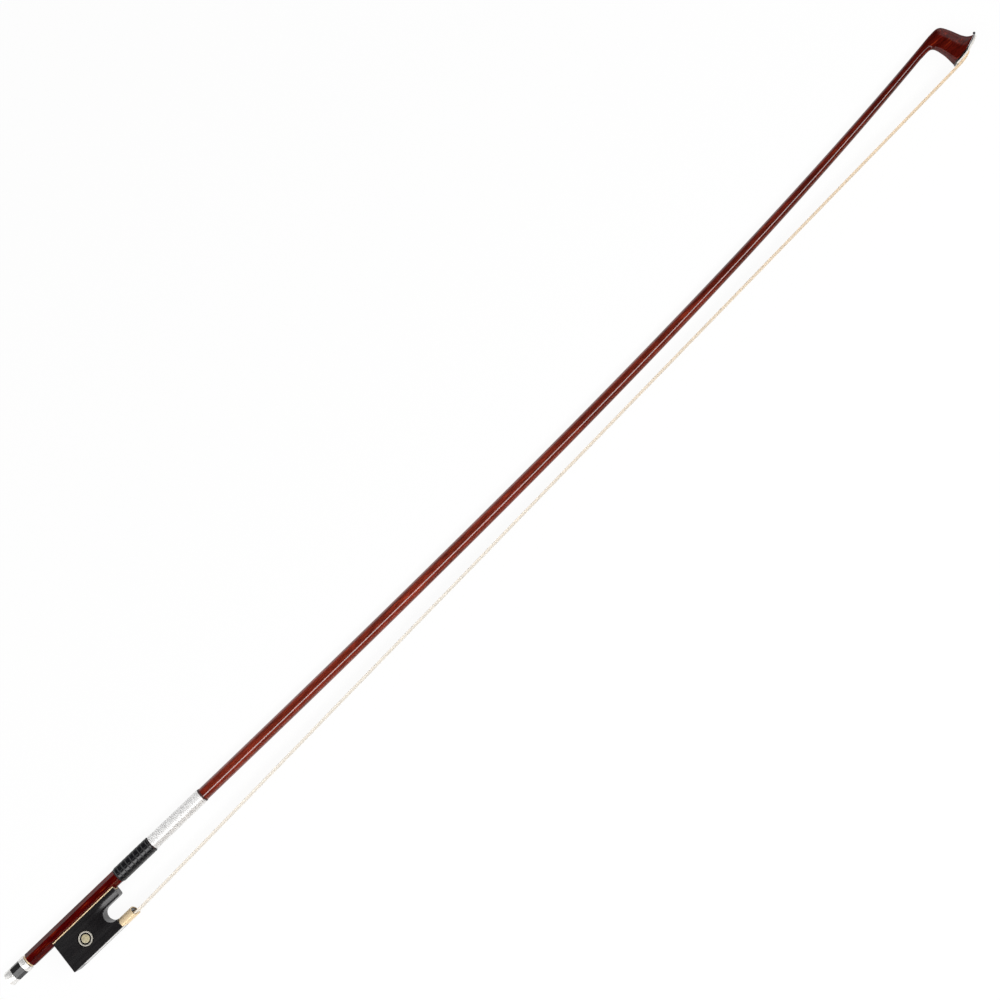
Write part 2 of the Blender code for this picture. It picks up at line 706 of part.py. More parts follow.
def hair_turn_mesh():
    """The hair that bends from the straight run up into the head's mortise."""
    back, front, top = head_mortise_places()
    turn_x = HEAD_X + HEAD_MORTISE_PLACE
    bend_y = hair_exit_height()
    reach = front - HAIR_THICKNESS / 2 - turn_x
    drop = bend_y - hair_height(turn_x)
    half = HAIR_THICKNESS / 2
    outer, inner = [], []
    for i in range(9):
        angle = math.pi / 2 * i / 8
        outer.append((turn_x + (reach + half) * math.sin(angle), bend_y - (drop + half) * math.cos(angle)))
        inner.append((turn_x + (reach - half) * math.sin(angle), bend_y - (drop - half) * math.cos(angle)))
    start_x = HEAD_X - HAIR_TURN_START
    start_y = hair_height(start_x)
    outline = [(start_x, start_y - half)] + outer + inner[::-1] + [(start_x, start_y + half)]
    return prism("hair_turn", [outline], -HAIR_WIDTH_HEAD, HAIR_WIDTH_HEAD)


def hair_taper_mesh():
    """The plan shape of the turn, drawn in to the mortise's width."""
    wide = HAIR_WIDTH_HEAD / 2
    narrow = HAIR_WIDTH_MORTISE / 2
    start = HEAD_X - HAIR_TURN_START
    neck = HEAD_X + HEAD_MORTISE_PLACE
    end = neck + HEAD_MORTISE_LENGTH
    bend = start + HAIR_SLICE_LENGTH / 2
    outline = [
        (start, -wide), (bend, -wide), (neck, -narrow), (end, -narrow),
        (end, narrow), (neck, narrow), (bend, wide), (start, wide),
    ]
    return prism("hair_taper", [outline], -0.02, 0.02, "plan")


def strand_mesh():
    """The straight hairs side by side in layers, each a three-sided strand, none crossing."""
    (start_x, start_y), line_end = hair_line()
    start_x = start_x - HAIR_SLICE_LENGTH / 2
    end_x = HEAD_X - HAIR_TURN_START + HAIR_SLICE_LENGTH / 2
    radius = HAIR_DIAMETER / 2
    bm = bmesh.new()
    for layer in range(HAIR_LAYERS):
        lift = ((layer + 0.5) / HAIR_LAYERS - 0.5) * HAIR_THICKNESS * 0.86
        for hair in range(HAIRS_PER_LAYER):
            across = (hair + 0.5 + 0.25 * (layer % 2 * 2 - 1)) / HAIRS_PER_LAYER - 0.5
            ends = []
            for x, width in ((start_x, HAIR_WIDTH_FROG), (end_x, HAIR_WIDTH_HEAD)):
                middle = Vector((x, hair_height(x) + lift, across * width * 0.96))
                ring = []
                for corner in range(3):
                    angle = math.pi / 2 + 2 * math.pi * corner / 3
                    offset = Vector((0, radius * math.sin(angle), radius * math.cos(angle)))
                    ring.append(bm.verts.new(middle + offset))
                ends.append(ring)
            near, far = ends
            for i in range(3):
                j = (i + 1) % 3
                bm.faces.new((near[i], near[j], far[j], far[i]))
            bm.faces.new(near)
            bm.faces.new(list(reversed(far)))
    return mesh_from(bm, "strands")


def make_hair(frame):
    """The ribbon of hair: a slice in the ferrule, the strands, and the turn into the head."""
    front = FROG_HEEL + FERRULE_FRONT - RUN_GAP
    back = front - HAIR_SLICE_LENGTH
    half = HAIR_THICKNESS / 2
    outline = [
        (back, hair_height(back) - half), (front, hair_height(front) - half),
        (front, hair_height(front) + half), (back, hair_height(back) + half),
    ]
    width = HAIR_WIDTH_FROG / 2
    hair = piece("hair_ribbon", prism("hair_ribbon", [outline], -width, width), HORSEHAIR, frame)
    turn = tool("hair_turn", hair_turn_mesh(), frame)
    boolean(turn, tool("hair_taper", hair_taper_mesh(), frame), "INTERSECT")
    boolean(hair, tool("strands", strand_mesh(), frame), "UNION")
    boolean(hair, turn, "UNION")


# Frog

def throat_middle():
    """The throat's centre, just behind the ferrule's top edge and under the nose."""
    return (FERRULE_BACK - 0.0008, -(NOSE_DEPTH + THROAT_RADIUS))


def frog_outline():
    """The frog's side view, round from its heel over the tongue and the throat to the nose."""
    x, y = throat_middle()
    front = FROG_LENGTH
    throat = arc((x, y), THROAT_RADIUS, 270, 90, 15)
    nose = arc((front - NOSE_ROUND, -NOSE_DEPTH + NOSE_ROUND), NOSE_ROUND, -90, 0, 5)
    return [
        (-HEEL_LEAN, -FROG_BOTTOM),
        (FERRULE_BACK - SEAT_GAP, -FROG_BOTTOM),
        (FERRULE_BACK - SEAT_GAP, -TONGUE_BOTTOM),
        (FERRULE_FRONT - SEAT_GAP * 2, -TONGUE_BOTTOM),
        (FERRULE_FRONT - SEAT_GAP * 2, y - THROAT_RADIUS),
    ] + throat + nose + [(front, -FROG_TOP), (0.0, -FROG_TOP)]


def frog_flare():
    """The frog's front view, wider towards the hair."""
    top, bottom = FROG_TOP_WIDTH / 2, FROG_BOTTOM_WIDTH / 2
    return [(-FROG_TOP, -top), (-FROG_BOTTOM, -bottom), (-FROG_BOTTOM, bottom), (-FROG_TOP, top)]


def channel_outline(apothem, top):
    """Three lower facets of an octagon, closed above at the given height."""
    foot = apothem * math.tan(math.pi / 8)
    edge = apothem * math.sqrt(2) - top
    return [(-top, -edge), (-apothem, -foot), (-apothem, foot), (-top, edge)]


def d_outline(inset):
    """The ferrule's section: flat under the hair and arched over the tongue."""
    side = FROG_BOTTOM_WIDTH / 2 - inset
    low = -FROG_BOTTOM + inset
    spring = -FROG_BOTTOM + FERRULE_SIDE
    rise = FERRULE_HEIGHT - FERRULE_SIDE - inset
    corner = max(FERRULE_CORNER - inset, 0.0002)
    points = []
    for i in range(15):
        angle = math.pi * i / 14
        points.append((spring + rise * math.sin(angle), side * math.cos(angle)))
    for i in range(4):
        angle = math.pi / 2 * i / 3
        points.append((low + corner - corner * math.sin(angle), -side + corner - corner * math.cos(angle)))
    for i in range(4):
        angle = math.pi / 2 * i / 3
        points.append((low + corner - corner * math.cos(angle), side - corner + corner * math.sin(angle)))
    return points


def tongue_cutter_outlines():
    """All round the tongue, out past the frog's sides."""
    outer = FROG_BOTTOM_WIDTH
    frame = [
        (-TONGUE_TOP + THROAT_RADIUS / 2, -outer), (-FROG_BOTTOM - 0.002, -outer),
        (-FROG_BOTTOM - 0.002, outer), (-TONGUE_TOP + THROAT_RADIUS / 2, outer),
    ]
    return [frame, d_outline(FERRULE_WALL + SEAT_GAP)]


def dovetail_outline(width, spread, top):
    """The slide's groove or the slide in it, wider inside than at the surface."""
    mouth, root = width / 2, width / 2 + spread
    return [(-FROG_BOTTOM - 0.001, -mouth), (-FROG_BOTTOM - 0.001, mouth), (-top, root), (-top, -root)]


def eye_frame(side, frame):
    """An empty on the frog's flared side, with its Z axis square to the surface."""
    half = FROG_TOP_WIDTH / 2 + (EYE_DEPTH - FROG_TOP) * math.tan(FLARE)
    empty = bpy.data.objects.new("eye_right_frame" if side > 0 else "eye_left_frame", None)
    empty.parent = frame
    empty.location = (EYE_PLACE, -EYE_DEPTH, side * half)
    empty.rotation_euler = (-FLARE if side > 0 else math.pi + FLARE, 0, 0)
    BOW.objects.link(empty)
    return empty


def make_frog(frame, eyes):
    frog = piece("frog", prism("frog", [frog_outline()], -0.01, 0.01), EBONY, frame)
    flare = prism("frog_flare", [frog_flare()], -0.01, FROG_LENGTH + 0.01, "front")
    boolean(frog, tool("frog_flare", flare, frame), "INTERSECT")
    bevel = frog.modifiers.new("edges", "BEVEL")
    bevel.width = FROG_EDGE
    bevel.segments = 1
    bevel.limit_method = "ANGLE"
    bevel.angle_limit = math.radians(50)
    start, end = -0.005, FROG_LENGTH + 0.005
    apothem = HANDLE_FLATS / 2 + 3 * SEAT_GAP + LINER_THICKNESS
    channel = prism("frog_channel", [channel_outline(apothem, 0.0)], start, end, "front")
    tongue = prism("tongue_outside", tongue_cutter_outlines(), FERRULE_BACK - SEAT_GAP, end, "front")
    width = SLIDE_WIDTH + 2 * SEAT_GAP
    groove_mesh = prism("slide_groove", [dovetail_outline(width, SLIDE_DOVETAIL, SLIDE_TOP)],
                        SLIDE_HEEL_ROOM, FERRULE_BACK + 0.001, "front")
    half = FROG_MORTISE_WIDTH / 2
    roof = TONGUE_BOTTOM
    floor = -SLIDE_TOP - 0.0004
    way = box("hair_way", (MORTISE_BACK, floor, -half - 0.0006), (end, -roof, half + 0.0006))
    pocket_top = -SLIDE_TOP + FROG_MORTISE_DEPTH
    pocket = box("plug_pocket", (MORTISE_BACK, floor, -half), (MORTISE_FRONT, pocket_top, half))
    stem_radius = EYELET_STEM_DIAMETER / 2 + SEAT_GAP
    stem = cylinder("stem_hole", stem_radius, stem_end() - SEAT_GAP * 2, -0.001, "Y", 16)
    tools = [
        tool("frog_channel", channel, frame),
        tool("tongue_outside", tongue, frame),
        tool("slide_groove", groove_mesh, frame),
        tool("hair_way", way, frame),
        tool("plug_pocket", pocket, frame),
        tool("stem_hole", stem, frame, (EYELET_PLACE, 0, 0)),
    ]
    for name, place in pin_places():
        hole = cylinder(f"{name}_hole", PIN_DIAMETER / 2 + SEAT_GAP, pin_end() - SEAT_GAP, -0.001, "Y", 12)
        tools.append(tool(f"{name}_hole", hole, frame, (place, 0, 0)))
    for eye in eyes:
        depth = EYE_THICKNESS + SEAT_GAP
        outer = EYE_RING_DIAMETER / 2
        ring = ring_profile(-depth, 0.002, outer - EYE_RING_WIDTH - SEAT_GAP, outer + SEAT_GAP)
        tools.append(turned(f"{eye.name}_ring_seat", ring, None, eye, (0, 0, 0), 36))
        seat = cylinder("pearl_seat", EYE_PEARL_DIAMETER / 2 + SEAT_GAP, -depth, 0.002, "Z", 28)
        tools.append(tool(f"{eye.name}_pearl_seat", seat, eye))
    for cutter in tools:
        boolean(frog, cutter, "DIFFERENCE")


def pin_places():
    return (("liner_pin_rear", PIN_INSET), ("liner_pin_front", FROG_LENGTH - PIN_INSET))


def pin_top():
    return -(HANDLE_FLATS / 2 + SEAT_GAP * 1.5)


def pin_end():
    return pin_top() - PIN_LENGTH


def stem_end():
    return -(HANDLE_FLATS / 2 + EYELET_STEM_LENGTH)


def make_underslide(frame):
    """Thin metal bent round the stick's three lower facets, held by the eyelet and two pins."""
    inner = HANDLE_FLATS / 2 + SEAT_GAP
    outer = inner + LINER_THICKNESS
    top = FROG_TOP - LINER_RISE
    near = channel_outline(inner, top)
    far = channel_outline(outer, top)
    outline = near + far[::-1]
    mesh = prism("underslide", [outline], 0.0, FROG_LENGTH, "front")
    underslide = piece("underslide", mesh, GILT, frame)
    boolean(underslide, bpy.data.objects["stem_hole"], "DIFFERENCE")
    for name, _ in pin_places():
        boolean(underslide, bpy.data.objects[f"{name}_hole"], "DIFFERENCE")


def make_pins(frame):
    for name, place in pin_places():
        pin = cylinder(name, PIN_DIAMETER / 2, pin_end(), pin_top(), "Y", 12)
        piece(name, pin, BRASS, frame, (place, 0, 0))


def make_eyelet(frame):
    """The brass eye that the screw pulls, with its stem down into the frog."""
    radius = EYELET_DIAMETER / 2
    bore = SCREW_DIAMETER / 2 + RUN_GAP / 2
    foot = EYELET_FOOT_WIDTH / 2
    low = -(HANDLE_FLATS / 2 - SEAT_GAP)
    around = arc((0, 0), radius, -125, 125, 17)
    outline = around + [(low, foot), (low, -foot)]
    hole = arc((0, 0), bore, 0, 337.5, 16)
    head = prism("eyelet", [outline, hole], -EYELET_LENGTH / 2, EYELET_LENGTH / 2, "front")
    eyelet = piece("eyelet", head, BRASS, frame, (EYELET_PLACE, 0, 0))
    stem = cylinder("eyelet_stem", EYELET_STEM_DIAMETER / 2, stem_end(), low + 0.0006, "Y", 16)
    boolean(eyelet, tool("eyelet_stem", stem, eyelet), "UNION")


def make_eyes(eyes):
    """A metal ring and a pearl dot let into each side, with a land of ebony between them."""
    outer = EYE_RING_DIAMETER / 2
    for side, eye in zip(("right", "left"), eyes):
        ring = ring_profile(-EYE_THICKNESS, 0.0, outer - EYE_RING_WIDTH, outer)
        turned(f"eye_ring_{side}", ring, SILVER, eye, (0, 0, 0), 36)
        pearl = cylinder(f"eye_pearl_{side}", EYE_PEARL_DIAMETER / 2, -EYE_THICKNESS, 0.0, "Z", 28)
        piece(f"eye_pearl_{side}", pearl, PEARL, eye)


def make_ferrule(frame):
    outlines = [d_outline(0.0), d_outline(FERRULE_WALL)]
    mesh = prism("ferrule", outlines, FERRULE_BACK, FERRULE_FRONT, "front", 30)
    piece("ferrule", mesh, GILT, frame)


def make_wedge(frame):
    """The thin wood wedge that spreads the hair under the tongue."""
    front = FERRULE_FRONT - SEAT_GAP * 3
    back = front - WEDGE_LENGTH
    low = -(HAIR_FROG_LOW - HAIR_THICKNESS) + SEAT_GAP
    high = -TONGUE_BOTTOM - SEAT_GAP
    outline = [(back, high - 0.0003), (front, low), (front, high), (back, high)]
    half = HAIR_WIDTH_FROG / 2 - 0.0006
    piece("ferrule_wedge", prism("ferrule_wedge", [outline], -half, half), BOXWOOD, frame)


def make_frog_knot(frame):
    """The knot in the frog's pocket and the hair that lies forward over the slide."""
    top = -SLIDE_TOP + FROG_MORTISE_DEPTH - SEAT_GAP
    back = MORTISE_BACK + SEAT_GAP
    low = -SLIDE_TOP + SEAT_GAP
    high = -TONGUE_BOTTOM - SEAT_GAP
    slice_back = FERRULE_FRONT - RUN_GAP - HAIR_SLICE_LENGTH - RUN_GAP
    flat_low = -HAIR_FROG_LOW
    flat_high = -HAIR_FROG_LOW + HAIR_THICKNESS
    bend = FERRULE_BACK + 0.0002
    outline = [
        (back, low),
        (bend, low),
        (slice_back - 0.0012, flat_low),
        (slice_back, flat_low),
        (slice_back, flat_high - 0.0003),
        (slice_back - 0.0014, flat_high - 0.0001),
        (bend, high),
        (back + HAIR_THICKNESS, high),
        (back + HAIR_THICKNESS, top - KNOT_LENGTH),
        (back + KNOT_LENGTH, top - KNOT_LENGTH),
        (back + KNOT_LENGTH, top),
        (back, top),
    ]
    half = FROG_MORTISE_WIDTH / 2 - SEAT_GAP
    piece("frog_hair_knot", prism("frog_hair_knot", [outline], -half, half), HORSEHAIR, frame)


def make_frog_plug(frame):
    top = -SLIDE_TOP + FROG_MORTISE_DEPTH - SEAT_GAP
    back = MORTISE_BACK + KNOT_LENGTH + 2 * SEAT_GAP
    low = -TONGUE_BOTTOM + SEAT_GAP * 0.5
    half = FROG_MORTISE_WIDTH / 2 - SEAT_GAP
    mesh = box("frog_plug", (back, low, -half), (MORTISE_FRONT - SEAT_GAP, top, half))
    piece("frog_plug", mesh, BOXWOOD, frame)


def slide_part(name, low, high, colour, frame):
    """One layer of the slide, with dovetail sides, between two heights."""
    start = SLIDE_HEEL_ROOM + SEAT_GAP
    end = FERRULE_BACK - SEAT_GAP
    outline = dovetail_outline(SLIDE_WIDTH, SLIDE_DOVETAIL, SLIDE_TOP + SEAT_GAP)
    layer = piece(name, prism(name, [outline], start, end, "front"), colour, frame)
    band = box(f"{name}_layer", (start - 0.001, low, -0.01), (end + 0.001, high, 0.01))
    boolean(layer, tool(f"{name}_layer", band, frame), "INTERSECT")


def make_slide(frame):
    """The pearl slide and the ebony strip that it is glued to."""
    low = -FROG_BOTTOM
    seam = low + PEARL_THICKNESS
    slide_part("pearl_slide", low, seam, PEARL, frame)
    slide_part("slide_backing", seam + SEAT_GAP, -SLIDE_TOP + 0.001, EBONY, frame)


# Button and screw

def make_button(frame):
    """Two metal rings on an ebony core, all turned a little against the stick's facets."""
    spigot = SPIGOT_DIAMETER / 2
    seat = spigot + SEAT_GAP
    half_gap = SEAT_GAP / 2
    core = octagon_bar("button_core", CORE_FLATS, CORE_BACK + half_gap, CORE_FRONT - half_gap, BUTTON_TURN)
    core = piece("button_core", core, EBONY, frame)
    neck = cylinder("core_spigots", spigot, CORE_BACK - REAR_SPIGOT_LENGTH, CORE_FRONT + FRONT_SPIGOT_LENGTH)
    boolean(core, tool("core_spigots", neck, frame), "UNION")
    rod_seat = cylinder("rod_seat", SCREW_DIAMETER / 2 + SEAT_GAP, CORE_BACK - SEAT_GAP, CORE_FRONT + 0.005,
                        segments=16)
    boolean(core, tool("rod_seat", rod_seat, frame), "DIFFERENCE")
    ring_end = CORE_BACK - half_gap
    rear = octagon_bar("button_ring_rear", REAR_RING_FLATS, BUTTON_END, ring_end, BUTTON_TURN, FROG_EDGE)
    rear = piece("button_ring_rear", rear, SILVER, frame)
    blind = cylinder("rear_ring_bore", seat, BUTTON_END + RING_WALL_END, CORE_BACK + 0.001)
    boolean(rear, tool("rear_ring_bore", blind, frame), "DIFFERENCE")
    ring_start = CORE_FRONT + half_gap
    flats = FRONT_RING_FLATS
    front = octagon_bar("button_ring_front", flats, ring_start, RING_FRONT, BUTTON_TURN, FROG_EDGE)
    front = piece("button_ring_front", front, SILVER, frame)
    through = cylinder("front_ring_bore", seat, CORE_FRONT - 0.001, RING_FRONT + 0.001)
    boolean(front, tool("front_ring_bore", through, frame), "DIFFERENCE")


def make_screw(frame):
    """The steel screw, set in the core, through the eyelet to a pin in the stick's bore."""
    end = CORE_FRONT + SCREW_LENGTH
    rod = cylinder("screw_rod", SCREW_DIAMETER / 2, CORE_BACK, end - SCREW_PIN_LENGTH, segments=16)
    rod = piece("screw_rod", rod, STEEL, frame)
    pin = cylinder("screw_pin", SCREW_PIN_DIAMETER / 2, end - SCREW_PIN_LENGTH - 0.002, end, segments=16)
    boolean(rod, tool("screw_pin", pin, frame), "UNION")


def main():
    clear_scene()
    stick_frame = body_frame("stick_frame", (0, AXIS_Y, AXIS_Z))
    screw_frame = body_frame("screw_axis", (0, AXIS_Y, AXIS_Z))
    frog_frame = body_frame("frog_slide_axis", (FROG_HEEL, AXIS_Y, AXIS_Z))
    eyes = [eye_frame(1, frog_frame), eye_frame(-1, frog_frame)]
    make_stick(stick_frame)
    make_collar(stick_frame)
    make_grip(stick_frame)
    make_winding(stick_frame)
    make_band(stick_frame)
    make_facings(stick_frame)
    make_head_plug(stick_frame)
    make_head_knot(stick_frame)
    make_hair(stick_frame)
    make_frog(frog_frame, eyes)
    make_underslide(frog_frame)
    make_pins(frog_frame)
    make_eyelet(frog_frame)
    make_eyes(eyes)
    make_ferrule(frog_frame)
    make_wedge(frog_frame)
    make_frog_knot(frog_frame)
    make_frog_plug(frog_frame)
    make_slide(frog_frame)
    make_button(screw_frame)
    make_screw(screw_frame)


main()
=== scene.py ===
"""The finished look of a violin bow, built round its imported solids.

Metres, +X from the button to the tip, +Y from the hair to the stick, +Z through the thickness.
"""
import json
from math import atan2, copysign, cos, degrees, floor, pi, radians, sin, tan

import bmesh
import bpy
from bpy.props import FloatProperty, FloatVectorProperty, IntProperty, PointerProperty
from bpy.types import NodeSocket, Operator, Panel, PropertyGroup
from mathutils import Matrix, Vector, noise


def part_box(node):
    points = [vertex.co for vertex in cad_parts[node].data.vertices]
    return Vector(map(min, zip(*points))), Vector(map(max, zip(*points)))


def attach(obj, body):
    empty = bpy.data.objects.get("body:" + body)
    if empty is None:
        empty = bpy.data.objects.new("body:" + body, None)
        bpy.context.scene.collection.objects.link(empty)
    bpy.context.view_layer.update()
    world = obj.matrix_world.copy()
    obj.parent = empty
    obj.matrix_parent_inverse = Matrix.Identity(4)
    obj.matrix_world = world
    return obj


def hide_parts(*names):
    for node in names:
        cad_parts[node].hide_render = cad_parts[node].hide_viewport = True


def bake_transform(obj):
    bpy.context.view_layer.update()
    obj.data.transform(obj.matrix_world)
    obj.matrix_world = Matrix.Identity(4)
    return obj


bl_info = {
    "name": "Violin bow",
    "version": (1, 0, 0),
    "blender": (4, 5, 0),
    "location": "3D View > Sidebar > Bow",
    "description": "Builds the visible pieces of a violin bow round its solids",
    "category": "Object",
}

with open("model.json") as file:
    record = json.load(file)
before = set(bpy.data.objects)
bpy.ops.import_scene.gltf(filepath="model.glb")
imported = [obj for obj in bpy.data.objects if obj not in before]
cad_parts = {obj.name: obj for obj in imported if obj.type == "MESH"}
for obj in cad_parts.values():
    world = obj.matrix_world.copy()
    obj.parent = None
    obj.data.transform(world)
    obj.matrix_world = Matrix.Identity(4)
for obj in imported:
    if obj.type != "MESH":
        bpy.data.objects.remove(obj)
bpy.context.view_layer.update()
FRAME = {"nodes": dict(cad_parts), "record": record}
BOXES = {name: tuple(Vector(corner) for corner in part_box(name)) for name in FRAME["nodes"]}
SLOTS = {entry["node"]: entry["material_slot"] for entry in FRAME["record"]["subparts"]}


def low(node):
    return BOXES[node][0]


def high(node):
    return BOXES[node][1]


AXIS = (low("screw_rod") + high("screw_rod")) / 2
AXIS.x = 0.0
SEAT = 0.0002
CHEEK_LEAN = radians(6.55)
BORE_RADIUS = 0.0017
SLOT_HALF_WIDTH = 0.00235
SHAFT_END = 0.3405


# Settings

def number(name, words, value, **limits):
    return FloatProperty(name=name, description=words, default=value, **limits)


def length(name, words, value):
    return number(name, words, value, min=0.0, subtype="DISTANCE", unit="LENGTH", precision=5)


def station(name, words, value):
    return number(name, words, value, subtype="DISTANCE", unit="LENGTH")


def slant(name, words, value):
    return number(name, words, radians(value), subtype="ANGLE", unit="ROTATION")


def whole(name, words, value):
    return IntProperty(name=name, description=words, default=value, min=1)


def colour(name, words, value):
    return FloatVectorProperty(name=name, description=f"Colour of {words}", default=value, min=0.0,
                               max=1.0, size=3, subtype="COLOR")


def part(kind, name, words):
    return PointerProperty(type=kind, name=name, description=words)


class BowStickSettings(PropertyGroup):
    flats: length("Handle across flats", "Width of the eight-sided handle", 0.0080)
    corner: length("Handle corner", "Half width of the small flat on each handle corner", 0.00012)
    butt: length("Shaft at the grip", "Diameter of the round shaft beside the grip", 0.00756)
    tip: length("Shaft at the head", "Diameter of the round shaft behind the head", 0.00468)
    taper: number("Taper", "How late the shaft's taper sets in", 2.3)
    camber_back: station("Camber start", "Where the shaft's curve starts, along X", -0.2180)
    camber_front: station("Camber end", "Where the shaft's curve ends, along X", 0.3522)
    camber_square: length("Even camber", "Rise of the shaft's even curve", 0.0129)
    camber_fourth: length("Late camber", "Further rise of the curve towards the head", 0.0106)


class BowHeadSettings(PropertyGroup):
    rise: length("Face height", "Height of the head's face over the handle's axis, at its back", 0.0052)
    run: length("Face length", "Length of the head's face", 0.0186)
    lift: length("Face lift", "Rise of the face towards the tip", 0.0043)
    half_width: length("Face half width", "Half the width of the head's face", 0.0051)
    narrowing: number("Narrowing", "Share of the width lost at the tip", 0.83)


class BowGripSettings(PropertyGroup):
    radius: length("Leather radius", "Radius of the leather over its scales", 0.00485)
    scale: length("Scale length", "Length of one embossed scale along the grip", 0.0030)
    rows: whole("Rows", "Rows of scales round the grip", 7)
    emboss: length("Emboss depth", "Depth of the grooves between the scales", 0.00028)
    wire: length("Wire diameter", "Diameter of the winding's wire", 0.00026)
    seed: whole("Seed", "Seed of the leather's unevenness", 7)


class BowHairSettings(PropertyGroup):
    strands: whole("Hairs", "Number of hairs in the ribbon", 640)
    diameter: length("Hair diameter", "Thickness of one hair", 0.00017)
    stray: length("Stray", "How far a hair wanders from its line", 0.00008)
    seed: whole("Seed", "Seed of the hairs' places", 3)


class BowFinishSettings(PropertyGroup):
    wood_handle: colour("Handle wood", "the stick's handle", (0.060, 0.0007, 0.0005))
    wood_shaft: colour("Shaft wood", "the stick's shaft", (0.190, 0.0230, 0.0110))
    wood_head: colour("Head wood", "the stick's head", (0.072, 0.0042, 0.0022))
    wood_fleck: colour("Wood flecks", "the wood's short flecks", (0.50, 0.060, 0.010))
    ebony: colour("Ebony", "the frog and the button's core", (0.0080, 0.0072, 0.0080))
    leather: colour("Leather", "the grip", (0.0045, 0.0042, 0.0055))
    silver: colour("Silver", "the button's rings", (0.93, 0.92, 0.90))
    gilt: colour("Gilt", "the ferrule and the lining", (0.94, 0.74, 0.47))
    pearl: colour("Pearl", "the eyes' dots", (0.47, 0.42, 0.27))
    plate: colour("Plate", "the head's plate", (0.86, 0.83, 0.77))
    hair: colour("Hair", "the horsehair", (0.96, 0.90, 0.81))
    hair_tan: colour("Tan hair", "the horsehair towards the head", (0.93, 0.74, 0.52))


class BowStudioSettings(PropertyGroup):
    distance: length("Camera distance", "Distance from the camera to the bow", 1.05)
    field: length("Field", "Width of the picture at the bow", 0.5506)
    tilt: slant("Tilt", "Camera's lean towards the hair", 6.5)
    turn: slant("Turn", "Angle of the handle in the picture", 43.7)
    key: number("Key lamp", "Power of the long lamp in watts", 21.0)
    key_angle: slant("Key angle", "Lean of the long lamp from overhead to the hair", 31.0)
    fill: number("Fill", "Strength of the light from the pale walls", 1.0)


class BowSettings(PropertyGroup):
    stick: part(BowStickSettings, "Stick", "Sizes of the stick")
    head: part(BowHeadSettings, "Head", "Sizes of the head")
    grip: part(BowGripSettings, "Grip", "Sizes of the grip and winding")
    hair: part(BowHairSettings, "Hair", "Sizes of the hair")
    finish: part(BowFinishSettings, "Finishes", "Colours of the bow")
    studio: part(BowStudioSettings, "Studio", "Camera and light")


def settings():
    return bpy.context.scene.bow


# Node helpers

def opaque(shade):
    """A solid colour from three parts or from one grey level."""
    return (*(shade if hasattr(shade, "__len__") else (shade,) * 3), 1.0)


def fill(tree, node, inputs):
    """Sets a node's inputs to values, or links them from sockets."""
    for key, value in inputs.items():
        socket = node.inputs[key]
        if isinstance(value, NodeSocket):
            tree.links.new(value, socket)
        else:
            socket.default_value = opaque(value) if socket.type == "RGBA" else value


def add(tree, kind, inputs=None, **fields):
    """The outputs of a new node, a shader node unless its kind says more, set and filled."""
    made = tree.nodes.new(kind if kind.startswith("Geometry") else f"ShaderNode{kind}")
    for key, value in fields.items():
        setattr(made, key, value)
    fill(tree, made, inputs or {})
    return made.outputs


def maths(tree, operation, *values):
    return add(tree, "Math", dict(enumerate(values)), operation=operation)[0]


def vectors(tree, operation, *values):
    return add(tree, "VectorMath", dict(enumerate(values)), operation=operation)[0]


def split(tree, vector):
    return add(tree, "SeparateXYZ", {"Vector": vector})


def texture(tree, kind, place, scale, **inputs):
    return add(tree, f"Tex{kind}", {"Vector": place, "Scale": scale, **inputs})


def spread(tree, value, start, end, lowest=0.0, highest=1.0):
    """A value, mapped so that the range from lowest to highest runs from start to end."""
    return add(tree, "MapRange", {"Value": value, "From Min": lowest, "From Max": highest,
                                  "To Min": start, "To Max": end})[0]


def mix(tree, share, first, second, mode="MIX"):
    return add(tree, "Mix", {0: share, 6: first, 7: second}, data_type="RGBA", blend_type=mode)[2]


def tint(tree, first, second):
    return mix(tree, 1.0, first, second, "MULTIPLY")


def ramp(tree, value, stops):
    """Colours between stops, each stop a place from 0 to 1 and a colour."""
    made = tree.nodes.new("ShaderNodeValToRGB")
    fill(tree, made, {"Fac": value})
    elements = made.color_ramp.elements
    elements.remove(elements[1])
    for i, (place, shade) in enumerate(stops):
        element = elements.new(place) if i else elements[0]
        element.position = place
        element.color = opaque(shade)
    return made.outputs["Color"]


def bump(tree, height, distance, strength=1.0):
    return add(tree, "Bump", {"Height": height, "Distance": distance, "Strength": strength})[0]


def shared_group(tree, name, make, inputs):
    """The outputs of a node group that is built once, with its inputs filled."""
    if name not in bpy.data.node_groups:
        inner = bpy.data.node_groups.new(name, "ShaderNodeTree")
        for socket in inputs:
            kind = "NodeSocketVector" if socket == "Vector" else "NodeSocketFloat"
            inner.interface.new_socket(name=socket, in_out="INPUT", socket_type=kind)
        made = make(inner, inner.nodes.new("NodeGroupInput").outputs)
        for socket in made:
            inner.interface.new_socket(name=socket, in_out="OUTPUT", socket_type="NodeSocketFloat")
        fill(inner, inner.nodes.new("NodeGroupOutput"), made)
    return add(tree, "Group", inputs, node_tree=bpy.data.node_groups[name])


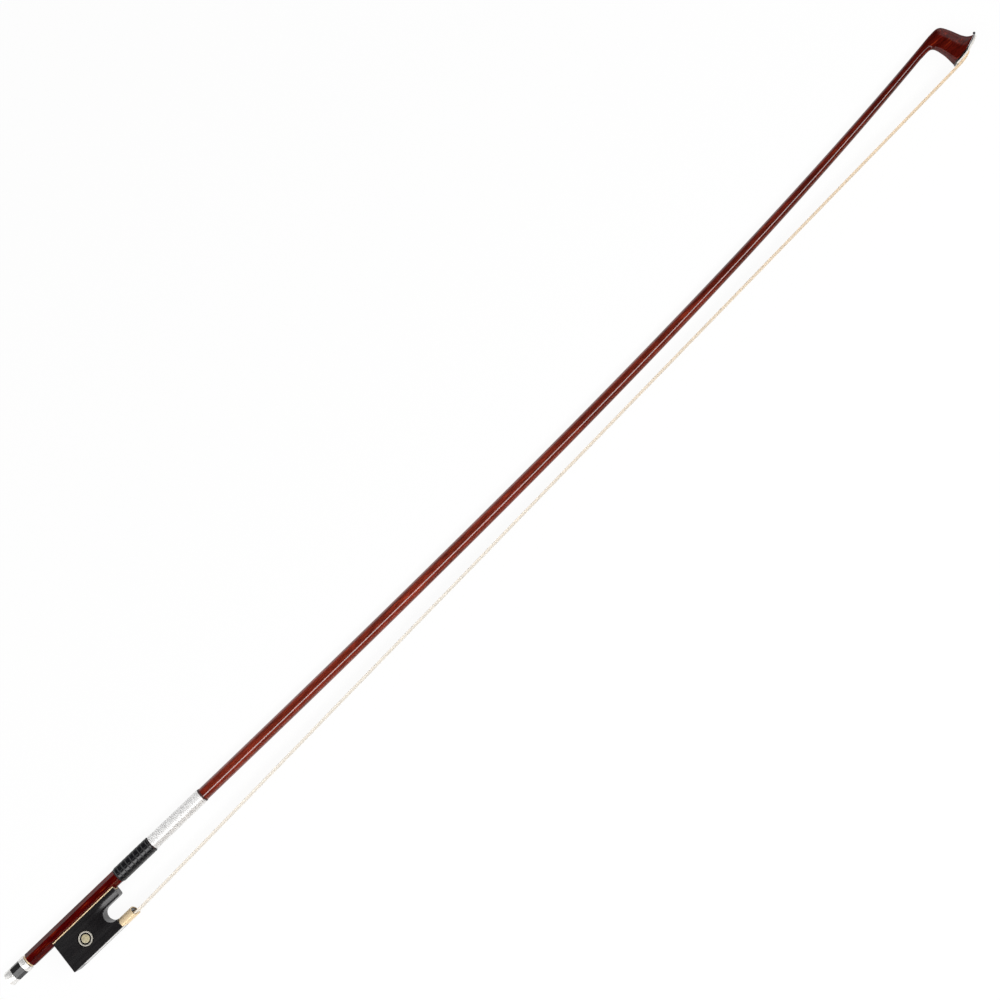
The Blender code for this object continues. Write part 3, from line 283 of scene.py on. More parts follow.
def fibres(tree, place, stretch, scale):
    """Streaks that run along X: a broad tone, fine fibres and short flecks."""
    def make(inner, given):
        across = add(inner, "CombineXYZ", {"X": given["Stretch"], "Y": 1.0, "Z": 1.0})[0]
        vector = vectors(inner, "MULTIPLY", given["Vector"], across)
        coarse, fine = (maths(inner, "MULTIPLY", given["Scale"], times) for times in (0.32, 2.6))
        fleck = texture(inner, "Voronoi", vector, given["Scale"])["Distance"]
        return {"Tone": texture(inner, "Noise", vector, coarse, Detail=3.0, Distortion=0.4)[0],
                "Fibre": texture(inner, "Noise", vector, fine, Detail=5.0, Roughness=0.65)[0],
                "Fleck": spread(inner, fleck, 1.0, 0.0, 0.04, 0.27)}

    return shared_group(tree, "wood_fibres", make, {"Vector": place, "Stretch": stretch, "Scale": scale})


def wear(tree, place, smoothest, roughest, scale):
    """Fine scratches and soft blotches, as a roughness, a height and a tarnish."""
    def make(inner, given):
        soft = texture(inner, "Noise", given["Vector"], given["Scale"], Detail=4.0)[0]
        fine = maths(inner, "MULTIPLY", given["Scale"], 9.0)
        thin = texture(inner, "Noise", given["Vector"], fine, Detail=2.0)[0]
        both = maths(inner, "MULTIPLY", soft, thin)
        return {"Roughness": spread(inner, both, given["Smoothest"], given["Roughest"], 0.1, 0.45),
                "Height": thin, "Tarnish": spread(inner, soft, 0.0, 1.0, 0.5, 0.75)}

    return shared_group(tree, "worn_polish", make, {"Vector": place, "Smoothest": smoothest,
                                                    "Roughest": roughest, "Scale": scale})


# Finishes

def finish(name):
    """The named material, built once."""
    full = f"bow_{name}"
    if full not in bpy.data.materials:
        tree = new_material(full)
        place = add(tree, "TexCoord")["Object"]
        inputs = metal(tree, place, *METALS[name]) if name in METALS else FINISHES[name](tree, place)
        fill(tree, tree.nodes["Principled BSDF"], inputs)
    return bpy.data.materials[full]


def new_material(name):
    made = bpy.data.materials.new(name)
    made.use_nodes = True
    return made.node_tree


def varnished_wood(tree, place):
    """Red varnish over wood whose tone changes from the handle to the head."""
    look = settings().finish
    grain = fibres(tree, place, 0.055, 1250.0)
    share = spread(tree, split(tree, place)["X"], 0.0, 1.0, -0.36, 0.37)
    handle, shaft, head = tuple(look.wood_handle), tuple(look.wood_shaft), tuple(look.wood_head)
    warm = tuple(1.5 * level for level in handle)
    late = tuple(0.45 * a + 0.55 * b for a, b in zip(shaft, head))
    base = ramp(tree, share, [(0.0, handle), (0.04, handle), (0.10, warm), (0.14, warm), (0.21, shaft),
                              (0.5, shaft), (0.8, late), (0.95, head)])
    fibre = ramp(tree, grain["Fibre"], [(0.36, 0.45), (0.50, 0.95), (0.64, 1.75)])
    tone = ramp(tree, grain["Tone"], [(0.35, 0.70), (0.65, 1.30)])
    fleck = maths(tree, "MULTIPLY", grain["Fleck"], grain["Fibre"])
    polish = ramp(tree, share, [(0.0, 0.5), (0.14, 0.5), (0.20, 1.0), (0.94, 1.0), (0.972, 0.22)])
    return {
        "Base Color": mix(tree, fleck, tint(tree, tint(tree, base, fibre), tone), look.wood_fleck),
        "Roughness": spread(tree, grain["Fibre"], 0.42, 0.60), "Specular IOR Level": 0.0,
        "Coat Weight": polish, "Coat Roughness": 0.10, "Coat IOR": 1.85,
        "Normal": bump(tree, grain["Fibre"], 0.000002, 0.3)}


def ebony(tree, place):
    grain = fibres(tree, place, 0.05, 1300.0)
    tone = ramp(tree, grain["Fibre"], [(0.3, 0.5), (0.5, 1.0), (0.75, (2.6, 2.4, 2.2))])
    return {
        "Base Color": tint(tree, settings().finish.ebony, tone), "Specular IOR Level": 0.6,
        "Roughness": spread(tree, grain["Tone"], 0.20, 0.28, 0.3, 0.7),
        "Normal": bump(tree, grain["Fibre"], 0.000004, 0.4)}


def boxwood(tree, place):
    grain = fibres(tree, place, 0.08, 900.0)
    return {
        "Base Color": ramp(tree, grain["Fibre"], [(0.3, (0.28, 0.16, 0.06)), (0.7, (0.52, 0.35, 0.17))]),
        "Roughness": spread(tree, grain["Tone"], 0.5, 0.75), "Normal": bump(tree, grain["Fibre"], 0.00001)}


METALS = {
    # colour or its setting, least and most roughness, tarnish, metallic share, scale of the wear
    "silver": ("silver", 0.30, 0.40, (0.82, 0.78, 0.72), 0.6, 300.0),
    "dull_silver": ((0.60, 0.57, 0.50), 0.32, 0.42, (0.48, 0.44, 0.36), 0.6, 300.0),
    "wire": ((0.98, 0.975, 0.97), 0.30, 0.38, (0.96, 0.95, 0.93), 0.5, 300.0),
    "gilt": ("gilt", 0.42, 0.52, (0.84, 0.66, 0.42), 0.5, 200.0),
    "brass": ((0.62, 0.42, 0.15), 0.28, 0.50, (0.35, 0.22, 0.08), 1.0, 300.0),
    "steel": ((0.50, 0.51, 0.53), 0.20, 0.42, (0.28, 0.26, 0.25), 1.0, 300.0),
}


def metal(tree, place, base, smoothest, roughest, stain, metallic, scale):
    base = getattr(settings().finish, base) if isinstance(base, str) else base
    worn = wear(tree, place, smoothest, roughest, scale)
    tarnish = maths(tree, "MULTIPLY", worn["Tarnish"], 0.4)
    return {
        "Base Color": mix(tree, tarnish, base, stain), "Roughness": worn["Roughness"],
        "Metallic": metallic, "Normal": bump(tree, worn["Height"], 0.000001, 0.3)}


def embossed_leather(tree, place):
    """Black leather, polished on the crests of its scales and dull in the grooves."""
    pores = texture(tree, "Voronoi", place, 4200.0)["Distance"]
    folds = texture(tree, "Noise", place, 900.0, Detail=6.0, Roughness=0.6)[0]
    worn = add(tree, "Attribute", attribute_name="crest")["Fac"]
    shade = ramp(tree, folds, [(0.3, 0.6), (0.7, 1.5)])
    dark = tint(tree, settings().finish.leather, shade)
    height = maths(tree, "ADD", maths(tree, "MULTIPLY", pores, 0.4), folds)
    return {
        "Base Color": mix(tree, maths(tree, "MULTIPLY", worn, 0.5), dark, (0.0085, 0.0085, 0.0105)),
        "Roughness": spread(tree, worn, 0.60, 0.17), "Normal": bump(tree, height, 0.000004, 0.4)}


def binding(tree, place):
    """Dark red lacquer over a few turns of thread."""
    turns = texture(tree, "Wave", place, 900.0, Distortion=0.6)["Fac"]
    return {
        "Base Color": ramp(tree, turns, [(0.2, (0.012, 0.003, 0.002)), (0.8, (0.055, 0.010, 0.006))]),
        "Roughness": spread(tree, turns, 0.45, 0.25)}


def pearl(tree, place, base=None):
    base = Vector(base or settings().finish.pearl)
    warp = texture(tree, "Noise", place, 260.0, Detail=2.0)["Color"]
    moved = vectors(tree, "MULTIPLY_ADD", warp, (0.004, 0.004, 0.004), place)
    band = texture(tree, "Noise", moved, 620.0, Detail=3.0)[0]
    shade = ramp(tree, band, [(0.30, (base.x * 0.75, base.y * 0.72, base.z * 0.80)), (0.45, base),
                              (0.55, [min(1.0, level * 1.25) for level in base]),
                              (0.70, (base.x * 0.95, base.y * 0.85, base.z * 0.75))])
    return {
        "Base Color": shade, "Roughness": spread(tree, band, 0.2, 0.4), "Coat Weight": 0.3,
        "Coat Roughness": 0.1}


def slide_pearl(tree, place):
    return pearl(tree, place, (0.90, 0.88, 0.84))


def white_plate(tree, place):
    base = Vector(settings().finish.plate)
    mottle = texture(tree, "Noise", place, 500.0, Detail=4.0)[0]
    return {
        "Base Color": ramp(tree, mottle, [(0.35, base * 0.92), (0.65, base)]),
        "Roughness": spread(tree, mottle, 0.25, 0.45), "Normal": bump(tree, mottle, 0.000004)}


def horsehair(tree, place):
    look = settings().finish
    share = spread(tree, split(tree, place)["X"], 0.0, 1.0, -0.05, 0.36)
    fibre = fibres(tree, place, 0.01, 2200.0)["Fibre"]
    base = mix(tree, share, look.hair, look.hair_tan)
    shade = ramp(tree, fibre, [(0.3, 0.93), (0.65, 1.03)])
    return {"Base Color": tint(tree, base, shade), "Roughness": spread(tree, fibre, 0.4, 0.6)}


def light_paths(tree):
    """Whether a ray comes straight from the camera or through glass, and whether it is glossy."""
    path = add(tree, "LightPath")
    direct = maths(tree, "MAXIMUM", path["Is Camera Ray"], path["Is Transmission Ray"])
    return direct, path["Is Glossy Ray"]


def pale_floor(name):
    """White to the camera with a faint shadow, mostly white to glossy rays, and plain to the rest."""
    tree = new_material(name)
    tree.nodes.remove(tree.nodes["Principled BSDF"])
    direct, glossy = light_paths(tree)
    seen = maths(tree, "MAXIMUM", direct, maths(tree, "MULTIPLY", glossy, 0.6))
    plain, soft = (add(tree, "BsdfDiffuse", {"Color": level})[0] for level in (0.8, 0.06))
    glow = add(tree, "Emission", {"Color": 1.0, "Strength": 0.94})[0]
    bright = add(tree, "AddShader", {0: soft, 1: glow})[0]
    mixed = add(tree, "MixShader", {0: seen, 1: plain, 2: bright})[0]
    fill(tree, tree.nodes["Material Output"], {"Surface": mixed})
    return bpy.data.materials[name]


FINISHES = {
    "stick_wood": varnished_wood, "ebony": ebony, "boxwood": boxwood, "leather": embossed_leather,
    "binding": binding, "pearl": pearl, "slide_pearl": slide_pearl, "white_plate": white_plate,
    "horsehair": horsehair,
}


# Mesh helpers

def show(name, data):
    obj = bpy.data.objects.new(name, data)
    bpy.context.scene.collection.objects.link(obj)
    return obj


def loose(bm, name):
    """An object of the scene made from the bmesh, which is freed."""
    mesh = bpy.data.meshes.new(name)
    bm.to_mesh(mesh)
    bm.free()
    return show(name, mesh)


def put(bm, name, slot_name, body, nodes=(), smooth=30.0, material=None):
    """Makes the mesh a piece that rides on a body, in place of the CAD nodes named."""
    bmesh.ops.recalc_face_normals(bm, faces=bm.faces)
    obj = loose(bm, name)
    obj.data.shade_smooth()
    obj.data.set_sharp_from_angle(angle=radians(smooth))
    obj.data.materials.append(finish(material or slot_name))
    return settle(obj, body, nodes)


def settle(obj, body, nodes=()):
    if body:
        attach(obj, body)
    if nodes:
        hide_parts(*nodes)
    return obj


def join_rows(bm, rows, over=False):
    """Faces round each pair of neighbouring rows of verts, with over also from the last to the first."""
    for near, far in zip(rows, rows[1:] + (rows[:1] if over else [])):
        for i in range(len(near)):
            j = (i + 1) % len(near)
            corners = list(dict.fromkeys((near[i], near[j], far[j], far[i])))
            if len(corners) > 2:
                bm.faces.new(corners)


def skin(bm, rings, caps=True, over=False):
    """Faces between rings of places that have the same count."""
    rows = [[bm.verts.new(place) for place in ring] for ring in rings]
    join_rows(bm, rows, over)
    if caps:
        bm.faces.new(rows[0])
        bm.faces.new(rows[-1][::-1])
    return rows


def turns_of(count):
    return [2 * pi * i / count for i in range(count)]


def rod(middle, radius, run, segments):
    """A cylinder along X."""
    bm = bmesh.new()
    bmesh.ops.create_cone(bm, cap_ends=True, segments=segments, radius1=radius, radius2=radius, depth=run,
                          matrix=Matrix.Translation(middle) @ Matrix.Rotation(pi / 2, 4, "Y"))
    return bm


def box_cutter(lowest, highest):
    lowest, highest = Vector(lowest), Vector(highest)
    bm = bmesh.new()
    bmesh.ops.create_cube(bm, size=1.0)
    bmesh.ops.scale(bm, vec=highest - lowest, verts=bm.verts)
    bmesh.ops.translate(bm, vec=(lowest + highest) / 2, verts=bm.verts)
    return loose(bm, "box_cutter")


def cut_with(obj, cutters):
    """Takes the cutters' shapes out of the object's mesh."""
    for cutter in cutters:
        step = obj.modifiers.new("cut", "BOOLEAN")
        step.operation = "DIFFERENCE"
        step.solver = "EXACT"
        step.object = cutter
    bake(obj)
    for cutter in cutters:
        bpy.data.objects.remove(cutter, do_unlink=True)


def soften(obj, width, segments=2):
    """Rounds the object's sharp edges."""
    step = obj.modifiers.new("edges", "BEVEL")
    step.width = width
    step.segments = segments
    step.limit_method = "ANGLE"
    step.angle_limit = radians(40)
    step.harden_normals = True
    bake(obj)


def bake(obj):
    """Turns the evaluated object into its own plain mesh."""
    graph = bpy.context.evaluated_depsgraph_get()
    graph.update()
    mesh = bpy.data.meshes.new_from_object(obj.evaluated_get(graph))
    mesh.name = obj.name
    obj.modifiers.clear()
    obj.data = mesh


def slice_mesh(bm, place, normal):
    bmesh.ops.bisect_plane(bm, geom=bm.verts[:] + bm.edges[:] + bm.faces[:], dist=0.000001,
                           plane_co=place, plane_no=normal)


def waver(*place):
    return noise.noise(Vector(place))


def ease(value):
    value = min(1.0, max(0.0, value))
    return value * value * (3 - 2 * value)


# Stick and head

def camber(x):
    sizes = settings().stick
    share = max(0.0, (x - sizes.camber_back) / (sizes.camber_front - sizes.camber_back))
    return sizes.camber_square * share ** 2 + sizes.camber_fourth * share ** 4


def shaft_radius(x):
    sizes = settings().stick
    share = min(1.0, max(0.0, (x - sizes.camber_back) / (sizes.camber_front - sizes.camber_back)))
    return (sizes.butt - (sizes.butt - sizes.tip) * share ** sizes.taper) / 2


def ring_angles():
    """Angles round a section from its hair side, with pairs close beside the octagon's corners."""
    corner = degrees(atan2(settings().stick.corner, settings().stick.flats / 2))
    steps = (-22.5 + corner, -15.0, -7.5, 0.0, 7.5, 15.0, 22.5 - corner)
    return [radians(45 * k + step) for k in range(8) for step in steps]


def octagon_radius(angle, apothem):
    within = (angle + pi / 8) % (pi / 4) - pi / 8
    return apothem / cos(within)


def handle_ring(x, share):
    """A handle section, from eight-sided at share 0 to round at share 1."""
    apothem = settings().stick.flats / 2
    points = []
    for angle in ring_angles():
        r = (1 - share) * octagon_radius(angle, apothem) + share * shaft_radius(x)
        points.append(AXIS + Vector((x, -r * cos(angle), r * sin(angle))))
    return points


def shaft_ring(x):
    step = 0.0005
    slope = Vector((2 * step, camber(x + step) - camber(x - step), 0)).normalized()
    up = Vector((-slope.y, slope.x, 0))
    middle = AXIS + Vector((x, camber(x), 0))
    r = shaft_radius(x)
    return [middle - up * r * cos(a) + Vector((0, 0, r * sin(a))) for a in ring_angles()]


HEAD_ROWS = (
    # in mm: hair-side x and y, outer x and y, half width; squared share of the section; sag in mm
    (342.0, 19.75, 341.4, 24.65, 2.38, 0.00, 0.00),
    (345.3, 19.98, 346.2, 25.20, 2.42, 0.08, 0.00),
    (347.8, 19.92, 351.0, 25.78, 2.52, 0.25, 0.00),
    (349.3, 19.30, 355.2, 26.09, 2.62, 0.50, 0.00),
    (350.35, 18.15, 358.6, 26.00, 2.74, 0.75, 0.00),
    (351.05, 16.60, 360.7, 24.85, 2.88, 0.92, 0.00),
    (351.55, 14.80, 362.05, 22.75, 3.06, 1.00, 0.00),
    (351.95, 12.80, 363.3, 20.10, 3.30, 1.00, 0.10),
    (352.20, 10.70, 364.5, 17.00, 3.62, 1.00, 0.50),
    (352.33, 8.80, 365.75, 13.80, 4.05, 1.00, 1.20),
    (352.42, 7.10, 367.4, 11.25, 4.55, 1.00, 2.60),
    (352.48, 5.95, 369.4, 9.85, 4.92, 1.00, 3.80),
    (352.50, 5.20, 370.8, 9.50, 5.10, 1.00, 4.30),
)


def smooth_rows(rows, steps):
    """Rows read along a smooth curve through the given ones."""
    made = []
    for i in range(len(rows) - 1):
        before, start = rows[max(0, i - 1)], rows[i]
        end, after = rows[i + 1], rows[min(len(rows) - 1, i + 2)]
        for k in range(steps):
            t = k / steps
            made.append(tuple(
                0.5 * (2 * b + (c - a) * t + (2 * a - 5 * b + 4 * c - d) * t ** 2
                       + (3 * b - a - 3 * c + d) * t ** 3) for a, b, c, d in zip(before, start, end, after)))
    made.append(rows[-1])
    return made


def read_between(value, stops):
    for (a, low_value), (b, high_value) in zip(stops, stops[1:]):
        if value <= b:
            return low_value + (high_value - low_value) * max(0.0, value - a) / (b - a)
    return stops[-1][1]


def cheek(share):
    """The head's half width along a section, as a share of its widest."""
    stops = ((0.0, 0.80), (0.066, 1.0), (0.2, 0.99), (0.4, 0.94), (0.6, 0.82), (0.8, 0.62), (0.88, 0.50),
             (1.0, 0.17))
    return read_between(share, stops)


def head_ring(row):
    back_x, back_y, outer_x, outer_y, width, squared, sag = row
    back, outer = Vector((back_x, back_y, 0)), Vector((outer_x, outer_y, 0))
    middle, half = (back + outer) / 2, (outer - back) / 2
    points = []
    for angle in ring_angles():
        bearing = degrees(angle) % 360
        side = 1 if bearing < 180 else -1
        turn = min(bearing, 360 - bearing)
        round_place = middle - half * cos(angle) + Vector((0, 0, width * sin(angle)))
        share = read_between(turn, ((0.0, 0.0), (22.5, 0.0), (30.0, 0.066), (142.5, 0.87), (158.0, 1.0),
                                    (180.0, 1.0)))
        if turn < 22.5:
            across = cheek(0.0) * turn / 22.5
        elif turn > 157.5:
            across = cheek(1.0) * (180.0 - turn) / 22.5
        else:
            across = cheek(share)
        flat_place = back + (outer - back) * share + Vector((0, 0, side * width * across))
        place = round_place.lerp(flat_place, squared)
        place.y -= sag * share * (1 - share)
        points.append(AXIS + place / 1000)
    return points


def fill_end(bm, ring):
    """Closes a ring by joining its two sides across."""
    angles = ring_angles()
    bottom = angles.index(min(angles, key=abs))
    for i in range(len(ring) // 2):
        corners = (ring[bottom + i], ring[bottom + i + 1], ring[bottom - i - 1], ring[bottom - i])
        bm.faces.new(list(dict.fromkeys(corners)))


class BOW_OT_make_stick(Operator):
    """Makes the one piece of wood: handle, cambered shaft and head"""
    bl_idname = "bow.make_stick"
    bl_label = "Make the stick"

    def execute(self, context):
        start, shaft_start = low("nipple_collar").x + 0.00105, high("leather_grip").x
        turn_start, turn_run, turn_steps, shaft_steps = shaft_start - 0.012, 0.010, 6, 110
        rings = [handle_ring(start, 0.0), handle_ring(start + 0.0002, 0.0), handle_ring(turn_start, 0.0)]
        rings[0] = [AXIS + Vector((start, *(place - AXIS).yz * 0.96)) for place in rings[0]]
        rings += [handle_ring(turn_start + turn_run * k / turn_steps, ease(k / turn_steps))
                  for k in range(1, turn_steps + 1)]
        rings += [shaft_ring(shaft_start + (SHAFT_END - shaft_start) * k / shaft_steps)
                  for k in range(shaft_steps + 1)]
        rings += [head_ring(row) for row in smooth_rows(HEAD_ROWS, 4)]
        bm = bmesh.new()
        rows = skin(bm, rings, caps=False)
        fill_end(bm, rows[0])
        fill_end(bm, rows[-1])
        stick = put(bm, "stick_body", "stick_wood", "stick", ("stick",), smooth=17.0)
        bore_start, bore_end = start - 0.002, high("screw_rod").x + 0.002
        bore = rod(((bore_start + bore_end) / 2, AXIS.y, AXIS.z), BORE_RADIUS, bore_end - bore_start, 32)
        cut_with(stick, [
            loose(bore, "bore_cutter"),
            box_cutter((low("eyelet").x - 0.0045, AXIS.y - 0.01, AXIS.z - SLOT_HALF_WIDTH),
                       (high("eyelet").x + 0.0055, AXIS.y + SLOT_HALF_WIDTH, AXIS.z + SLOT_HALF_WIDTH)),
            mortise_cutter(AXIS.y + 0.001, high("head_hair_knot").y + SEAT)])
        return {"FINISHED"}


def mortise_cutter(lowest_y, highest_y):
    """The hair's mouth in the head, between two heights."""
    knot_low, knot_high = BOXES["head_hair_knot"]
    return box_cutter((low("head_plug").x - SEAT, lowest_y, knot_low.z - SEAT),
                      (knot_high.x + SEAT, highest_y, knot_high.z + SEAT))


def facing(node, top, thickness, overhang):
    """A plate that follows the head's face, with a rounded outline."""
    sizes = settings().head
    run = sizes.run + overhang
    sides = (1, 0.5, 0, -0.5, -1)
    rings = []
    for share in (0.0, 0.03, *(0.066 + 0.934 * (k / 22) for k in range(23))):
        half = sizes.half_width * {0.0: 0.80, 0.03: 0.92}.get(share, 1.0 - sizes.narrowing * share ** 3)
        x = low(node).x + run * share
        y = AXIS.y + sizes.rise + sizes.lift * (share * run / sizes.run) ** 2 - top
        rings.append([(x, y, AXIS.z + side * half) for side in sides]
                     + [(x, y - thickness, AXIS.z + side * half) for side in sides[::-1]])
    bm = bmesh.new()
    rows = skin(bm, rings, caps=False)
    for row in (rows[0], rows[-1]):
        for i in range(len(sides) - 1):
            bm.faces.new((row[i], row[i + 1], row[-i - 2], row[-i - 1]))
    return bm


FACINGS = (
    # node, piece, slot, depth of its top under the face, thickness, overhang, edge rounding
    ("tip_liner", "tip_lining", "ebony", SEAT, 0.0005, 0.0010, 0.00008),
    ("tip_plate", "tip_plate_white", "white_plate", 3 * SEAT + 0.0004, 0.0009, 0.0006, 0.00018),
)


class BOW_OT_make_facings(Operator):
    """Makes the head's black lining with its bead and the white plate"""
    bl_idname = "bow.make_facings"
    bl_label = "Make the head's facings"

    def execute(self, context):
        for node, name, slot_name, top, thickness, overhang, edge in FACINGS:
            plate = put(facing(node, top, thickness, overhang), name, slot_name, "stick", (node,))
            soften(plate, edge)
            cut_with(plate, [mortise_cutter(-0.02, 0.03)])
        end, radius = high("tip_liner"), 0.00075
        bead = bmesh.new()
        bmesh.ops.create_uvsphere(bead, u_segments=32, v_segments=20, radius=radius)
        bmesh.ops.scale(bead, vec=(1.0, 1.0, 1.1), verts=bead.verts)
        bmesh.ops.translate(bead, vec=(end.x - 0.00078, end.y - radius, AXIS.z), verts=bead.verts)
        put(bead, "tip_bead", "ebony", "stick")
        return {"FINISHED"}


# Grip and winding

def scale_height(x, angle, sizes):
    """How far the leather stands up at a place, 0 to 1, and how near the place is to its row's edge."""
    row_place = (angle + 0.10) / (2 * pi) * sizes.rows
    row = floor(row_place)
    wobble = 0.05 * waver(x * 300, row * 3.7, sizes.seed)
    across = abs(2 * (row_place - row + wobble) - 1)
    shift = 0.35 * waver(row * 5.1, sizes.seed, 0.0)
    column_place = x / sizes.scale + shift + wobble
    along = abs(2 * (column_place - floor(column_place)) - 1)
    return max(0.0, 1 - across ** 7) * max(0.0, 1 - along ** 7), across


class BOW_OT_make_grip(Operator):
    """Makes the leather grip with its embossed scales"""
    bl_idname = "bow.make_grip"
    bl_label = "Make the leather grip"

    def execute(self, context):
        sizes = settings().grip
        back, front = low("leather_grip").x, high("leather_grip").x
        around, along = turns_of(224), 176
        inner = 1.06 * (settings().stick.flats / 2 + 0.00005)
        crest, rings = [], []
        for k in range(along + 1):
            x = back + (front - back) * k / along
            end = min(k, along - k) / along
            fall, reach = (0.00055, 0.045) if k < along / 2 else (0.00030, 0.02)
            drop = fall * (1 - ease(end / reach))
            rings.append([])
            for angle in around:
                height, edge = scale_height(x - back, angle, sizes)
                height *= ease(end / 0.02)
                pillow = 0.000015 * waver(x * 900, cos(angle) * 4, sin(angle) * 4)
                flat = -0.00026 * (1 - edge * edge)
                r = sizes.radius - drop - sizes.emboss * (1 - height) + pillow + flat
                rings[-1].append((x, AXIS.y - r * sin(angle), AXIS.z + r * cos(angle)))
                crest.append(height)
        rings += [[(x, AXIS.y - inner * sin(angle), AXIS.z + inner * cos(angle)) for angle in around]
                  for x in (front, back)]
        bm = bmesh.new()
        skin(bm, rings, caps=False, over=True)
        crest += [0.0] * (2 * len(around))
        grip = put(bm, "grip_leather", "leather", "stick", ("leather_grip",), smooth=60.0)
        grip.data.attributes.new("crest", "FLOAT", "POINT").data.foreach_set("value", crest)
        return {"FINISHED"}


def tube(tree, curve, diameter, sides):
    half = maths(tree, "MULTIPLY", diameter, 0.5)
    section = add(tree, "GeometryNodeCurvePrimitiveCircle", {"Resolution": sides, "Radius": half})[0]
    return add(tree, "GeometryNodeCurveToMesh", {"Curve": curve, "Profile Curve": section,
                                                 "Fill Caps": True})[0]


def grow(obj, name, material, sockets, make):
    """Turns the object into the plain mesh that a Geometry Nodes tree makes from it and its inputs."""
    tree = bpy.data.node_groups.new(name, "GeometryNodeTree")
    new_socket = tree.interface.new_socket
    new_socket(name="Geometry", in_out="INPUT", socket_type="NodeSocketGeometry")
    for socket, value in sockets.items():
        kind = "NodeSocketFloat" if isinstance(value, float) else "NodeSocketVector"
        new_socket(name=socket, in_out="INPUT", socket_type=kind).default_value = value
    key = new_socket(name="Finish", in_out="INPUT", socket_type="NodeSocketMaterial").identifier
    new_socket(name="Geometry", in_out="OUTPUT", socket_type="NodeSocketGeometry")
    given = tree.nodes.new("NodeGroupInput").outputs
    smooth = add(tree, "GeometryNodeSetShadeSmooth", {"Geometry": make(tree, given)})[0]
    real = add(tree, "GeometryNodeRealizeInstances", {"Geometry": smooth})[0]
    done = add(tree, "GeometryNodeSetMaterial", {"Geometry": real, "Material": given["Finish"]})[0]
    fill(tree, tree.nodes.new("NodeGroupOutput"), {"Geometry": done})
    step = obj.modifiers.new("grow", "NODES")
    step.node_group = tree
    step[key] = finish(material)
    bake(obj)
    if not obj.data.polygons:
        raise RuntimeError(f"{obj.name} came out empty")


class BOW_OT_make_winding(Operator):
    """Makes the winding from one close helix of fine wire, with its end band"""
    bl_idname = "bow.make_winding"
    bl_label = "Make the wire winding"

    def execute(self, context):
        def make(tree, given):
            count = maths(tree, "DIVIDE", given["Length"], given["Wire"])
            spiral = add(tree, "GeometryNodeCurveSpiral", {
                "Resolution": 44, "Rotations": count, "Start Radius": given["Radius"],
                "End Radius": given["Radius"], "Height": given["Length"]})[0]
            laid = add(tree, "GeometryNodeTransform", {
                "Geometry": spiral, "Translation": given["Start"], "Rotation": (0.0, pi / 2, 0.0)})[0]
            return tube(tree, laid, given["Wire"], 8)

        thick = settings().grip.wire
        lowest, highest = BOXES["winding_wire"]
        winding = loose(bmesh.new(), "silver_winding")
        grow(winding, "wire_turns", "wire", {
            "Start": (lowest.x, AXIS.y, AXIS.z), "Length": highest.x - lowest.x,
            "Radius": (highest.y - lowest.y) / 2 - thick / 2, "Wire": thick}, make)
        settle(winding, "stick", ("winding_wire",))
        back, front = low("winding_end_band").x, high("winding_end_band").x
        inner = shaft_radius(front) + 0.00002
        profile = [(back, inner), (front, inner), (front, inner + 0.00010)]
        profile += [(back + (front - back) * (1 - k / 12),
                     inner + 0.00030 * sin(pi * (0.12 + 0.76 * k / 12))) for k in range(13)]
        band = bmesh.new()
        skin(band, [[(x, AXIS.y + r * sin(turn), AXIS.z + r * cos(turn)) for x, r in profile]
                    for turn in turns_of(72)], caps=False, over=True)
        put(band, "end_binding", "ebony", "stick", ("winding_end_band",), material="binding")
        return {"FINISHED"}


# Hair

FROG_HAIR_DEPTH = 0.02155
HEAD_HAIR_RISE = 0.00285
HAIR_TURN_START = 0.3546
RIBBON_OUTER = -0.00036
FERRULE_WIDTH, HEAD_WIDTH, MORTISE_WIDTH = 0.0102, 0.0088, 0.0056


def hair_path():
    """Places along the ribbon's middle from the ferrule to the head's mortise."""
    line_start = high("ferrule").x
    slope = (HEAD_HAIR_RISE + FROG_HAIR_DEPTH) / 0.6501

    def line(x):
        return AXIS.y - FROG_HAIR_DEPTH + slope * (x - line_start)

    path = [Vector((x, line(x), AXIS.z)) for x in (low("hair_ribbon").x, line_start, -0.2, -0.1, 0.0, 0.1,
                                                   0.2, 0.3, 0.340, 0.3465)]
    bend_y = AXIS.y + 0.0050
    drop = bend_y - line(HAIR_TURN_START)
    reach = high("head_hair_knot").x - 0.00045 - HAIR_TURN_START
    for angle in (pi / 2 * i / 8 for i in range(9)):
        path.append(Vector((HAIR_TURN_START + reach * sin(angle), bend_y - drop * cos(angle), AXIS.z)))
    path.append(path[-1] + Vector((0, 0.0022, 0)))
    return path


def hair_stations():
    """The ribbon's places, each with its outward direction and the ribbon's inner height there."""
    path = hair_path()
    found = []
    for k, place in enumerate(path):
        slope = (path[min(k + 1, len(path) - 1)] - path[max(k - 1, 0)]).normalized()
        inner = 0.00034 + 0.00036 * ease((place.x - 0.3535) / 0.004)
        found.append((place, Vector((-slope.y, slope.x, 0)), inner))
    return found


def hair_width(x):
    start = low("hair_ribbon").x
    share = min(1.0, (x - start) / (0.3482 - start))
    wide = FERRULE_WIDTH + (HEAD_WIDTH - FERRULE_WIDTH) * share
    return wide - (HEAD_WIDTH - MORTISE_WIDTH) * ease((x - 0.3495) / 0.010)


